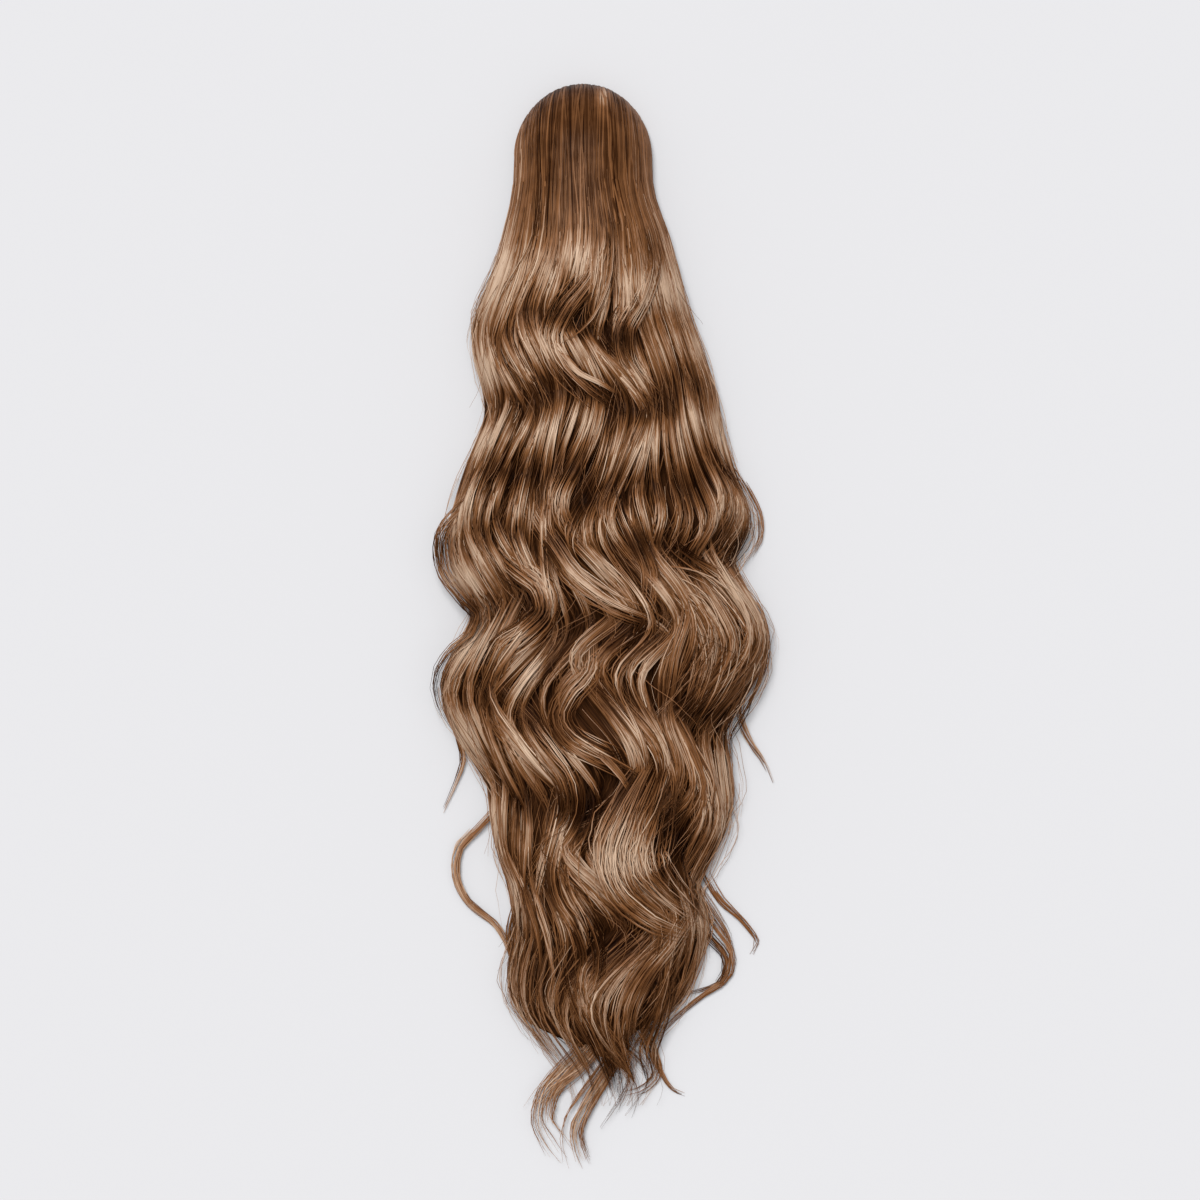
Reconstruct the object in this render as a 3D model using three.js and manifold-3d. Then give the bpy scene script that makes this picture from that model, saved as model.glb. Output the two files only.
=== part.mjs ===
// A long, wavy ponytail hairpiece lying on a table with its outer side up, in millimetres.
// A cloth cap, open underneath, sits over the wearer's bun. A plain comb is sewn inside its front
// rim. Two layers of hair are sewn to the cap: the under layer starts behind it and lies on the
// table, and the over layer runs over the cap and down in waves to loose, tapered tips.
// X is across, +Y points from the tips to the crown, +Z is up. The origin is in the middle of the
// cap's flat rim, at its front.
import * as THREE from "three";
import { mergeVertices } from "three/addons/utils/BufferGeometryUtils.js";
import Module from "manifold-3d";

const wasm = await Module();
wasm.setup();

// Driving dimensions
const LENGTH = 660; // from the crown's front edge to the longest tip
const HAIR_WIDTH = 209; // across the widest waves
const HAIR_HEIGHT = 43; // from the table to the top of the thickest stretch
const UNDER_HEIGHT = 15; // the under layer's share of that
const CROWN_HAIR = 5; // the hair that lies over the cap
const WAVE_SWING = 15; // how far a strong wave moves a lock sideways
const WAVE_LIFT = 4; // how far it lifts it
const LOCK_WIDTH = 27;
const LOCK_DEPTH = 17;
const WISP_WIDTH = 7; // a loose lock at the edge or the tip
const CAP_WIDTH = 74;
const CAP_LENGTH = 84;
const CAP_HEIGHT = 34;
const CAP_WALL = 1.8;
const HEM_WIDTH = 4; // the cap's rolled rim
const HEM_HEIGHT = 4.5;
const COMB_WIDTH = 44;
const COMB_THICKNESS = 2.2;
const SPINE_DEPTH = 5;
const TOOTH_LENGTH = 22;
const TOOTH_WIDTH = 2.3;
const TEETH = 9;
const COMB_RISE = 1; // the comb's underside above the rim
const GAP = 0.3; // between pieces that touch
const FINENESS = 0.2; // facets that differ by less than this are one

// What follows from them
const CAP_MIDDLE = HEM_WIDTH / 2 - CAP_LENGTH / 2;
const CROWN_SIDE = CAP_WIDTH / 2 + GAP + CROWN_HAIR;
const CROWN_REACH = CAP_LENGTH / 2 + GAP + CROWN_HAIR;
const CROWN_TOP = CAP_HEIGHT + GAP + CROWN_HAIR;
const FRONT = CAP_MIDDLE + CROWN_REACH;
const HALF_WIDTH = HAIR_WIDTH / 2;

// How finely the solids are faceted
const CAP_SIDES = 32;
const DOME_STEPS = 7;
const ARCH_POINTS = 11;
const CROWN_SECTIONS = 9;
const BODY_STEP = 25;
const LOCK_STEP = 18;
const LOCK_SIDES = 6;
const WISP_STEP = 12;
const WISP_SIDES = 5;

// The hair without its waves. along is a share of LENGTH from the crown, left and right are shares
// of HALF_WIDTH, and height is a share of HAIR_HEIGHT.
const SECTIONS = [
  { along: 0.0, left: -0.4, right: 0.39, height: 0.9 },
  { along: 0.07, left: -0.42, right: 0.41, height: 0.94 },
  { along: 0.144, left: -0.47, right: 0.51, height: 1.0 },
  { along: 0.217, left: -0.58, right: 0.65, height: 0.97 },
  { along: 0.291, left: -0.61, right: 0.76, height: 0.93 },
  { along: 0.365, left: -0.7, right: 0.86, height: 0.92 },
  { along: 0.438, left: -0.72, right: 0.92, height: 0.92 },
  { along: 0.512, left: -0.74, right: 0.97, height: 0.92 },
  { along: 0.586, left: -0.72, right: 0.92, height: 0.88 },
  { along: 0.659, left: -0.6, right: 0.8, height: 0.8 },
  { along: 0.696, left: -0.5, right: 0.76, height: 0.75 },
  { along: 0.733, left: -0.42, right: 0.74, height: 0.7 },
  { along: 0.77, left: -0.43, right: 0.72, height: 0.64 },
  { along: 0.807, left: -0.49, right: 0.64, height: 0.58 },
  { along: 0.843, left: -0.47, right: 0.57, height: 0.52 },
  { along: 0.88, left: -0.34, right: 0.45, height: 0.44 },
  { along: 0.917, left: -0.15, right: 0.32, height: 0.34 },
  { along: 0.954, left: -0.08, right: 0.16, height: 0.24 },
  { along: 1.0, left: -0.04, right: 0.04, height: 0.14 },
];

// The waves of the three sides of the hair: along is a share of LENGTH, swing of WAVE_SWING to the
// right, and lift of WAVE_LIFT.
const WAVES = {
  left: [
    { along: 0.121, swing: 0.0, lift: 0 },
    { along: 0.185, swing: -0.16, lift: 0.7 },
    { along: 0.231, swing: -0.48, lift: -0.3 },
    { along: 0.262, swing: -0.12, lift: 1 },
    { along: 0.297, swing: 0.4, lift: -1 },
    { along: 0.332, swing: 0.2, lift: 1 },
    { along: 0.369, swing: -0.12, lift: -1 },
    { along: 0.4, swing: -0.4, lift: 0.9 },
    { along: 0.423, swing: -0.52, lift: -0.5 },
    { along: 0.454, swing: -0.08, lift: 0.9 },
    { along: 0.484, swing: 0.56, lift: -0.8 },
    { along: 0.526, swing: -0.08, lift: 0.9 },
    { along: 0.564, swing: -0.68, lift: -0.5 },
    { along: 0.609, swing: -0.08, lift: 0.9 },
    { along: 0.65, swing: 0.52, lift: -0.9 },
    { along: 0.685, swing: 0.08, lift: 0.8 },
    { along: 0.719, swing: -0.32, lift: -0.5 },
    { along: 0.751, swing: 0.0, lift: 0.5 },
    { along: 0.788, swing: 0.32, lift: -0.5 },
    { along: 0.853, swing: -0.32, lift: 0.4 },
    { along: 0.917, swing: 0.24, lift: -0.2 },
    { along: 1.0, swing: 0.0, lift: 0 },
  ],
  middle: [
    { along: 0.134, swing: 0.0, lift: 0 },
    { along: 0.188, swing: -0.24, lift: 0.9 },
    { along: 0.233, swing: -0.56, lift: -1 },
    { along: 0.256, swing: -0.08, lift: 1 },
    { along: 0.291, swing: 0.56, lift: -1 },
    { along: 0.325, swing: 0.32, lift: 1 },
    { along: 0.363, swing: -0.16, lift: -1 },
    { along: 0.394, swing: -0.56, lift: 0.8 },
    { along: 0.424, swing: -0.08, lift: -0.7 },
    { along: 0.457, swing: 0.64, lift: 0.9 },
    { along: 0.486, swing: 0.96, lift: -0.8 },
    { along: 0.53, swing: -0.24, lift: 0.7 },
    { along: 0.567, swing: 0.24, lift: -0.6 },
    { along: 0.604, swing: 0.96, lift: 1 },
    { along: 0.632, swing: 1.2, lift: -0.4 },
    { along: 0.659, swing: 0.72, lift: -0.9 },
    { along: 0.698, swing: -0.88, lift: 0.3 },
    { along: 0.738, swing: -0.08, lift: 1 },
    { along: 0.779, swing: 1.04, lift: -1 },
    { along: 0.811, swing: 0.4, lift: -0.4 },
    { along: 0.843, swing: -0.32, lift: 0.7 },
    { along: 0.88, swing: -0.24, lift: -0.2 },
    { along: 0.917, swing: 0.48, lift: -0.4 },
    { along: 1.0, swing: 0.0, lift: 0 },
  ],
  right: [
    { along: 0.157, swing: 0.0, lift: 0 },
    { along: 0.199, swing: -0.12, lift: 0.9 },
    { along: 0.219, swing: -0.12, lift: -0.3 },
    { along: 0.245, swing: 0.0, lift: 0.6 },
    { along: 0.286, swing: 0.2, lift: -1 },
    { along: 0.328, swing: 0.12, lift: 1 },
    { along: 0.372, swing: 0.32, lift: -0.9 },
    { along: 0.408, swing: 0.6, lift: 0.8 },
    { along: 0.441, swing: -0.32, lift: -0.9 },
    { along: 0.475, swing: 0.16, lift: 0.9 },
    { along: 0.521, swing: 0.8, lift: 0.2 },
    { along: 0.563, swing: 0.08, lift: -0.6 },
    { along: 0.587, swing: -0.56, lift: -0.8 },
    { along: 0.627, swing: 0.08, lift: 0.6 },
    { along: 0.667, swing: 0.72, lift: 0.3 },
    { along: 0.701, swing: 0.16, lift: -0.8 },
    { along: 0.733, swing: -0.48, lift: -0.2 },
    { along: 0.77, swing: 0.24, lift: 0.7 },
    { along: 0.807, swing: 0.96, lift: -0.3 },
    { along: 0.843, swing: 0.08, lift: -0.6 },
    { along: 0.876, swing: -0.48, lift: 0.2 },
    { along: 0.922, swing: 0.4, lift: 0 },
    { along: 1.0, swing: 0.0, lift: 0 },
  ],
};

// The main locks. lane runs from -1 at the left edge to 1 at the right edge, level is the height
// as a share of the hair's there, from and to are shares of LENGTH, size and swing scale the lock
// and its wave, and shift moves the wave along the hair by a share of LENGTH.
const OVER_LOCKS = [
  { lane: -0.92, level: 0.8, wave: "left", from: 0.12, to: 0.8, size: 0.95, swing: 1.0, shift: 0.0 },
  { lane: -0.72, level: 0.95, wave: "left", from: 0.09, to: 0.86, size: 1.0, swing: 1.0, shift: 0.004 },
  { lane: -0.5, level: 1.0, wave: "left", from: 0.11, to: 0.9, size: 1.05, swing: 1.0, shift: -0.004 },
  { lane: -0.27, level: 1.0, wave: "left", from: 0.08, to: 0.94, size: 1.0, swing: 0.9, shift: 0.006 },
  { lane: -0.05, level: 1.0, wave: "middle", from: 0.105, to: 0.93, size: 1.05, swing: 1.0, shift: 0.0 },
  { lane: 0.16, level: 1.0, wave: "middle", from: 0.075, to: 0.95, size: 1.05, swing: 1.0, shift: -0.005 },
  { lane: 0.37, level: 1.0, wave: "middle", from: 0.1, to: 0.92, size: 1.0, swing: 0.9, shift: 0.005 },
  { lane: 0.56, level: 0.97, wave: "right", from: 0.08, to: 0.88, size: 1.0, swing: 1.0, shift: -0.005 },
  { lane: 0.75, level: 0.9, wave: "right", from: 0.11, to: 0.86, size: 1.0, swing: 1.0, shift: 0.0 },
  { lane: 0.93, level: 0.8, wave: "right", from: 0.125, to: 0.83, size: 0.9, swing: 1.0, shift: 0.003 },
];
const UNDER_LOCKS = [
  { lane: -0.93, level: 0.3, wave: "left", from: 0.2, to: 0.74, size: 0.75, swing: 1.2, shift: 0.006 },
  { lane: 0.93, level: 0.3, wave: "right", from: 0.2, to: 0.76, size: 0.75, swing: 1.2, shift: -0.006 },
];

// Locks that leave their lane and cross over the others. across is a share of HALF_WIDTH, along of
// LENGTH, and level of the hair's height there.
const CROSSING_LOCKS = [
  {
    size: 0.8,
    path: [
      { across: -0.3, along: 0.395, level: 0.8 },
      { across: -0.17, along: 0.422, level: 1.0 },
      { across: -0.06, along: 0.45, level: 1.06 },
      { across: 0.09, along: 0.469, level: 1.06 },
      { across: 0.24, along: 0.482, level: 1.04 },
      { across: 0.4, along: 0.49, level: 1.0 },
      { across: 0.56, along: 0.512, level: 0.85 },
    ],
  },
  {
    size: 0.9,
    path: [
      { across: 0.58, along: 0.44, level: 0.9 },
      { across: 0.73, along: 0.458, level: 0.9 },
      { across: 0.87, along: 0.475, level: 0.85 },
      { across: 0.96, along: 0.495, level: 0.8 },
      { across: 0.99, along: 0.52, level: 0.75 },
      { across: 0.95, along: 0.548, level: 0.75 },
      { across: 0.87, along: 0.575, level: 0.75 },
      { across: 0.8, along: 0.6, level: 0.6 },
    ],
  },
  {
    size: 1.1,
    path: [
      { across: 0.35, along: 0.455, level: 0.8 },
      { across: 0.49, along: 0.47, level: 1.05 },
      { across: 0.69, along: 0.49, level: 1.1 },
      { across: 0.8, along: 0.515, level: 1.1 },
      { across: 0.81, along: 0.54, level: 1.1 },
      { across: 0.74, along: 0.563, level: 1.05 },
      { across: 0.66, along: 0.585, level: 1.0 },
      { across: 0.56, along: 0.617, level: 0.8 },
    ],
  },
  {
    size: 1.1,
    path: [
      { across: 0.5, along: 0.64, level: 0.8 },
      { across: 0.3, along: 0.668, level: 1.05 },
      { across: 0.14, along: 0.695, level: 1.08 },
      { across: 0.08, along: 0.718, level: 1.08 },
      { across: 0.14, along: 0.742, level: 1.06 },
      { across: 0.29, along: 0.761, level: 1.02 },
      { across: 0.46, along: 0.774, level: 0.95 },
      { across: 0.47, along: 0.79, level: 0.95 },
      { across: 0.38, along: 0.805, level: 1.0 },
      { across: 0.26, along: 0.83, level: 1.0 },
      { across: 0.21, along: 0.855, level: 1.0 },
      { across: 0.22, along: 0.885, level: 0.8 },
    ],
  },
  {
    size: 0.9,
    path: [
      { across: -0.5, along: 0.42, level: 0.8 },
      { across: -0.4, along: 0.44, level: 1.0 },
      { across: -0.28, along: 0.459, level: 1.06 },
      { across: -0.24, along: 0.48, level: 1.08 },
      { across: -0.35, along: 0.502, level: 1.08 },
      { across: -0.52, along: 0.522, level: 1.05 },
      { across: -0.66, along: 0.543, level: 0.95 },
      { across: -0.72, along: 0.565, level: 0.9 },
      { across: -0.66, along: 0.598, level: 0.7 },
    ],
  },
];

// Loose locks at the edges and the tips. across is a share of HALF_WIDTH and along of LENGTH.
const WISPS = {
  left_tendril: {
    size: 0.9,
    path: [
      { across: -0.4, along: 0.65 },
      { across: -0.6, along: 0.685 },
      { across: -0.715, along: 0.705 },
      { across: -0.733, along: 0.728 },
      { across: -0.67, along: 0.751 },
      { across: -0.42, along: 0.79 },
    ],
  },
  left_point: {
    size: 1.1,
    path: [
      { across: -0.74, along: 0.56 },
      { across: -0.72, along: 0.595 },
      { across: -0.7, along: 0.622 },
      { across: -0.74, along: 0.645 },
      { across: -0.808, along: 0.67 },
    ],
  },
  right_point: {
    size: 0.9,
    path: [
      { across: 0.95, along: 0.55 },
      { across: 0.936, along: 0.581 },
      { across: 0.983, along: 0.604 },
      { across: 1.064, along: 0.624 },
      { across: 1.116, along: 0.645 },
    ],
  },
  right_curl: {
    size: 0.8,
    path: [
      { across: 0.66, along: 0.71 },
      { across: 0.797, along: 0.751 },
      { across: 0.942, along: 0.774 },
      { across: 1.012, along: 0.793 },
      { across: 0.924, along: 0.809 },
    ],
  },
  right_loop: {
    size: 1.2,
    path: [
      { across: 0.66, along: 0.735 },
      { across: 0.86, along: 0.785 },
      { across: 0.86, along: 0.822 },
      { across: 0.7, along: 0.843 },
      { across: 0.5, along: 0.862 },
      { across: 0.36, along: 0.89 },
    ],
  },
  tip_left: {
    size: 1.1,
    path: [
      { across: 0.08, along: 0.885 },
      { across: -0.13, along: 0.915 },
      { across: -0.235, along: 0.94 },
      { across: -0.209, along: 0.965 },
      { across: -0.122, along: 0.987 },
    ],
  },
  tip_middle: {
    size: 1.3,
    path: [
      { across: 0.15, along: 0.9 },
      { across: 0.035, along: 0.936 },
      { across: -0.075, along: 0.965 },
      { across: -0.06, along: 0.985 },
      { across: -0.012, along: 1.0 },
    ],
  },
  tip_right: {
    size: 1.1,
    path: [
      { across: 0.34, along: 0.865 },
      { across: 0.436, along: 0.899 },
      { across: 0.506, along: 0.915 },
      { across: 0.599, along: 0.925 },
    ],
  },
};

const smooth = (t) => {
  const u = THREE.MathUtils.clamp(t, 0, 1);
  return u * u * (3 - 2 * u);
};

// A column of a table at a place along the hair, on a curve through its rows.
function read(table, column, along) {
  const last = table.length - 1;
  let i = table.findIndex((row) => row.along >= along);
  if (i === 0) return table[0][column];
  if (i < 0) return table[last][column];
  const [a, b] = [table[i - 1], table[i]];
  const before = table[Math.max(i - 2, 0)];
  const after = table[Math.min(i + 1, last)];
  const span = b.along - a.along;
  const t = (along - a.along) / span;
  const slopeA = ((b[column] - before[column]) / (b.along - before.along)) * span;
  const slopeB = ((after[column] - a[column]) / (after.along - a.along)) * span;
  return (
    a[column] * (1 + 2 * t) * (1 - t) ** 2 +
    slopeA * t * (1 - t) ** 2 +
    b[column] * t * t * (3 - 2 * t) +
    slopeB * t * t * (t - 1)
  );
}

// The D-shaped section of the hair at a place along it: its two edges and its height.
function sectionAt(along) {
  const y = FRONT - along * LENGTH;
  const left = read(SECTIONS, "left", along) * HALF_WIDTH;
  const right = read(SECTIONS, "right", along) * HALF_WIDTH;
  const height = read(SECTIONS, "height", along) * HAIR_HEIGHT;
  const inCap = (y - CAP_MIDDLE) / CROWN_REACH;
  const round = Math.sqrt(Math.max(1 - inCap * inCap, 0));
  const crown = y > CAP_MIDDLE ? 1 : smooth(1 + inCap);
  if (y > CAP_MIDDLE)
    return { y, left: -CROWN_SIDE * round, right: CROWN_SIDE * round, height: CROWN_TOP * round };
  return {
    y,
    left: THREE.MathUtils.lerp(left, -CROWN_SIDE, crown),
    right: THREE.MathUtils.lerp(right, CROWN_SIDE, crown),
    height: THREE.MathUtils.lerp(height, CROWN_TOP, crown),
  };
}

// A skin over closed rings of equal length, with a flat or pointed cap at each end.
function loft(rings) {
  const sides = rings[0].length;
  const position = rings.flat().flatMap((p) => [p.x, p.y, p.z]);
  const index = [];
  for (let r = 0; r + 1 < rings.length; r++)
    for (let k = 0; k < sides; k++) {
      const a = r * sides + k;
      const b = r * sides + ((k + 1) % sides);
      index.push(a, b, a + sides, b, b + sides, a + sides);
    }
  const end = (rings.length - 1) * sides;
  for (let k = 1; k + 1 < sides; k++) {
    index.push(0, k + 1, k);
    index.push(end, end + k, end + k + 1);
  }
  const geometry = new THREE.BufferGeometry();
  geometry.setAttribute("position", new THREE.Float32BufferAttribute(position, 3));
  geometry.setIndex(index);
  return geometry;
}

function solidOf(geometry) {
  const bare = geometry.clone();
  bare.deleteAttribute("normal");
  bare.deleteAttribute("uv");
  const merged = mergeVertices(bare, 1e-4);
  const solid = new wasm.Manifold(
    new wasm.Mesh({
      numProp: 3,
      vertProperties: merged.attributes.position.array,
      triVerts: new Uint32Array(merged.index.array),
    }),
  );
  return solid;
}

function geometryOf(solid) {
  const mesh = solid.getMesh();
  const geometry = new THREE.BufferGeometry();
  geometry.setAttribute("position", new THREE.Float32BufferAttribute(mesh.vertProperties, 3));
  geometry.setIndex(new THREE.BufferAttribute(mesh.triVerts, 1));
  geometry.computeVertexNormals();
  return geometry;
}

// Everything above the table inside the hair's reach.
function aboveTable() {
  const reach = 2 * LENGTH;
  const box = new THREE.BoxGeometry(reach, 2 * reach, reach).translate(0, 0, reach / 2);
  return solidOf(box);
}

// A dome on the table, with the cap's outline grown by extra. A floor below the table keeps a cut
// made with it clean.
function dome(extra, floor) {
  const points = [new THREE.Vector2(0, -floor), new THREE.Vector2(1, -floor)];
  for (let i = 0; i <= DOME_STEPS; i++) {
    const angle = (i / DOME_STEPS) * (Math.PI / 2);
    points.push(new THREE.Vector2(i === DOME_STEPS ? 0 : Math.cos(angle), Math.sin(angle)));
  }
  const geometry = new THREE.LatheGeometry(points, CAP_SIDES);
  geometry.rotateX(Math.PI / 2);
  geometry.scale(CAP_WIDTH / 2 + extra, CAP_LENGTH / 2 + extra, CAP_HEIGHT + extra);
  geometry.translate(0, CAP_MIDDLE, 0);
  return solidOf(geometry);
}

// The cap: a thin cloth dome with a thicker hem round its open mouth.
function capGeometry() {
  const across = CAP_LENGTH / 2;
  const innerTop = CAP_HEIGHT - CAP_WALL;
  const inner = across - CAP_WALL;
  const hemIn = across - HEM_WIDTH;
  const hemAngle = Math.asin(HEM_HEIGHT / innerTop);
  const points = [];
  for (let i = 0; i <= DOME_STEPS; i++) {
    const angle = (i / DOME_STEPS) * (Math.PI / 2);
    const edge = i === DOME_STEPS;
    points.push(new THREE.Vector2(edge ? 0 : across * Math.cos(angle), CAP_HEIGHT * Math.sin(angle)));
  }
  for (let i = DOME_STEPS; i >= 0; i--) {
    const angle = hemAngle + (i / DOME_STEPS) * (Math.PI / 2 - hemAngle);
    const edge = i === DOME_STEPS;
    points.push(new THREE.Vector2(edge ? 0 : inner * Math.cos(angle), innerTop * Math.sin(angle)));
  }
  points.push(new THREE.Vector2(hemIn, HEM_HEIGHT));
  points.push(new THREE.Vector2(hemIn, 0));
  points.push(points[0].clone());
  const geometry = new THREE.LatheGeometry(points, CAP_SIDES);
  geometry.rotateX(Math.PI / 2);
  geometry.scale(CAP_WIDTH / CAP_LENGTH, 1, 1);
  geometry.translate(0, CAP_MIDDLE, 0);
  return geometry;
}

// The comb: one plate whose spine follows the hem's inner face, with teeth that point to the tips.
function combGeometry() {
  const sideReach = (CAP_LENGTH / 2 - HEM_WIDTH) * (CAP_WIDTH / CAP_LENGTH) - GAP;
  const frontReach = CAP_LENGTH / 2 - HEM_WIDTH - GAP;
  const frontAt = (x) => CAP_MIDDLE + frontReach * Math.sqrt(1 - (x / sideReach) ** 2);
  const tip = frontAt(0) - SPINE_DEPTH - TOOTH_LENGTH;
  const pitch = (COMB_WIDTH - TOOTH_WIDTH) / (TEETH - 1);
  const outline = [];
  for (let i = 0; i <= 2 * TEETH; i++) {
    const x = -COMB_WIDTH / 2 + (i / (2 * TEETH)) * COMB_WIDTH;
    outline.push(new THREE.Vector2(x, frontAt(x)));
  }
  for (let i = TEETH - 1; i >= 0; i--) {
    const x = -COMB_WIDTH / 2 + TOOTH_WIDTH / 2 + i * pitch;
    const root = frontAt(x) - SPINE_DEPTH;
    for (const [side, y] of [[1, root], [0.6, tip], [-0.6, tip], [-1, root]])
      outline.push(new THREE.Vector2(x + (side * TOOTH_WIDTH) / 2, y));
  }
  const plate = new THREE.ExtrudeGeometry(new THREE.Shape(outline), {
    depth: COMB_THICKNESS,
    bevelEnabled: false,
  });
  return plate.translate(0, 0, COMB_RISE);
}

// The one closed body that a union comes to, without the hollows and crumbs inside or beside it.
function wholeOf(solid) {
  const bodies = solid.simplify(FINENESS).decompose();
  return bodies.reduce((a, b) => (a.volume() > b.volume() ? a : b));
}

// A D-shaped body of hair between two places along it, as high as the share of the section there.
function bodySolid({ places, shareAt, inset, grow, floor }) {
  const rings = places.map((along) => {
    const { y, left, right, height } = sectionAt(along);
    const middle = (left + right) / 2;
    const half = ((right - left) / 2) * inset(along) + grow;
    const top = shareAt(along, height) + grow;
    const ring = [];
    for (let k = 0; k < ARCH_POINTS; k++) {
      const angle = (k / (ARCH_POINTS - 1)) * Math.PI;
      ring.push(new THREE.Vector3(middle + half * Math.cos(angle), y, top * Math.sin(angle)));
    }
    ring.push(new THREE.Vector3(middle - half, y, -floor));
    ring.push(new THREE.Vector3(middle + half, y, -floor));
    return ring;
  });
  return solidOf(loft(rings));
}

// Places along the hair for a body's sections, evenly spaced.
function evenPlaces(from, to) {
  const count = Math.ceil(((to - from) * LENGTH) / BODY_STEP);
  return Array.from({ length: count + 1 }, (_, i) => from + ((to - from) * i) / count);
}

// A lock with an oval section that tapers at both ends, along a path of centres.
function lockSolid(centres, widthAt, depthAt, tilt, sides) {
  const curve = new THREE.CatmullRomCurve3(centres);
  const last = centres.length - 1;
  const rings = centres.map((centre, i) => {
    const forward = curve.getTangent(i / last);
    const side = new THREE.Vector3(-forward.y, forward.x, 0).normalize();
    const up = new THREE.Vector3().crossVectors(forward, side).normalize();
    side.applyAxisAngle(forward, tilt);
    up.applyAxisAngle(forward, tilt);
    return Array.from({ length: sides }, (_, k) => {
      const angle = (k / sides) * 2 * Math.PI;
      return centre
        .clone()
        .addScaledVector(side, (Math.cos(angle) * widthAt(i / last)) / 2)
        .addScaledVector(up, (Math.sin(angle) * depthAt(i / last)) / 2);
    });
  });
  return solidOf(loft(rings));
}

// A main lock: it lies in its lane across the hair and takes its wave from its side of it.
function mainLock({ lane, level, wave, from, to, size, swing, shift }, grow = 0) {
  const count = Math.ceil(((to - from) * LENGTH) / LOCK_STEP);
  const arch = Math.sqrt(1 - lane * lane);
  const slope = Math.asin(lane) * 0.7;
  const taper = (t) => (0.3 + 0.7 * smooth(t / 0.12)) * (1 - 0.85 * smooth((t - 0.72) / 0.28));
  const centres = Array.from({ length: count + 1 }, (_, i) => {
    const along = from + ((to - from) * i) / count;
    const { y, left, right, height } = sectionAt(along);
    const rise = smooth((along - from) / 0.1);
    const sway = read(WAVES[wave], "swing", along + shift) * WAVE_SWING * swing;
    const lift = read(WAVES[wave], "lift", along + shift) * WAVE_LIFT;
    const depth = LOCK_DEPTH * size * taper(i / count);
    return new THREE.Vector3(
      (left + right) / 2 + ((right - left) / 2) * lane + sway,
      y,
      Math.max(height * arch * level * (0.76 + 0.24 * rise) + lift * rise - depth * 0.45, depth * 0.3),
    );
  });
  return lockSolid(
    centres,
    (t) => LOCK_WIDTH * size * taper(t) + 2 * grow,
    (t) => LOCK_DEPTH * size * taper(t) + 2 * grow,
    -slope,
    LOCK_SIDES,
  );
}

// A lock that crosses over the main ones.
function crossingLock({ size, path }) {
  const points = path.map(({ across, along, level }) => {
    const { y, left, right, height } = sectionAt(along);
    const x = across * HALF_WIDTH;
    const lane = (2 * x - left - right) / (right - left);
    const arch = Math.sqrt(Math.max(1 - lane * lane, 0.25));
    return new THREE.Vector3(x, y, height * arch * level - LOCK_DEPTH * size * 0.4);
  });
  const curve = new THREE.CatmullRomCurve3(points);
  const count = Math.ceil(curve.getLength() / LOCK_STEP);
  const taper = (t) => (0.25 + 0.75 * smooth(t / 0.3)) * (1 - 0.75 * smooth((t - 0.65) / 0.35));
  return lockSolid(
    curve.getSpacedPoints(count),
    (t) => LOCK_WIDTH * size * taper(t),
    (t) => LOCK_DEPTH * size * taper(t),
    0,
    LOCK_SIDES,
  );
}

// A loose lock, lying on the table.
function wisp({ size, path }, grow = 0) {
  const points = path.map(
    ({ across, along }) => new THREE.Vector3(across * HALF_WIDTH, FRONT - along * LENGTH, 0),
  );
  const curve = new THREE.CatmullRomCurve3(points);
  const count = Math.ceil(curve.getLength() / WISP_STEP);
  const centres = curve.getSpacedPoints(count);
  const width = (t) => WISP_WIDTH * size * (1 - 0.8 * smooth((t - 0.35) / 0.65));
  centres.forEach((centre, i) => (centre.z = width(i / count) * 0.3));
  return lockSolid(
    centres,
    (t) => width(t) + 2 * grow,
    (t) => width(t) * 0.8 + 2 * grow,
    0,
    WISP_SIDES,
  );
}

const underStart = (FRONT - (CAP_MIDDLE - CAP_LENGTH * 0.3)) / LENGTH;
const UNDER_END = 0.9;
const OVER_END = 0.94;
const UNDER_WISPS = ["left_tendril", "left_point", "right_point"];
const OVER_WISPS = ["right_curl", "right_loop", "tip_left", "tip_middle", "tip_right"];

// The under layer: a flat body behind the cap with a lock along each edge. Grown by the gap, it is
// also what makes room for itself in the over layer.
function underLayer(grow) {
  const body = bodySolid({
    places: evenPlaces(underStart, UNDER_END),
    shareAt: (along, height) => UNDER_HEIGHT * (height / HAIR_HEIGHT),
    inset: (along) => 0.93 - 0.25 * smooth((along - 0.7) / 0.2),
    grow,
    floor: grow,
  });
  const locks = UNDER_LOCKS.map((lock) => mainLock(lock, grow));
  const wisps = UNDER_WISPS.map((name) => wisp(WISPS[name], grow));
  return [...locks, ...wisps].reduce((solid, piece) => solid.add(piece), body);
}

// The over layer: a body that runs over the cap, with the main locks fused to it.
function overLayer() {
  const crownShare = CROWN_REACH / LENGTH;
  const crownPlaces = Array.from(
    { length: CROWN_SECTIONS },
    (_, i) => crownShare * (1 - Math.cos((((i + 0.25) / CROWN_SECTIONS) * Math.PI) / 2)),
  );
  const body = bodySolid({
    places: [...crownPlaces, ...evenPlaces(crownShare, OVER_END)],
    shareAt: (along, height) => height * (1 - 0.2 * smooth((along - 0.12) / 0.1)),
    inset: (along) => 1 - 0.12 * smooth((along - 0.12) / 0.1) - 0.5 * smooth((along - 0.84) / 0.1),
    grow: 0,
    floor: 0,
  });
  const locks = OVER_LOCKS.map((lock) => mainLock(lock));
  const crossing = CROSSING_LOCKS.map((lock) => crossingLock(lock));
  const wisps = OVER_WISPS.map((name) => wisp(WISPS[name]));
  return [...locks, ...crossing, ...wisps].reduce((solid, piece) => solid.add(piece), body);
}

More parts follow.
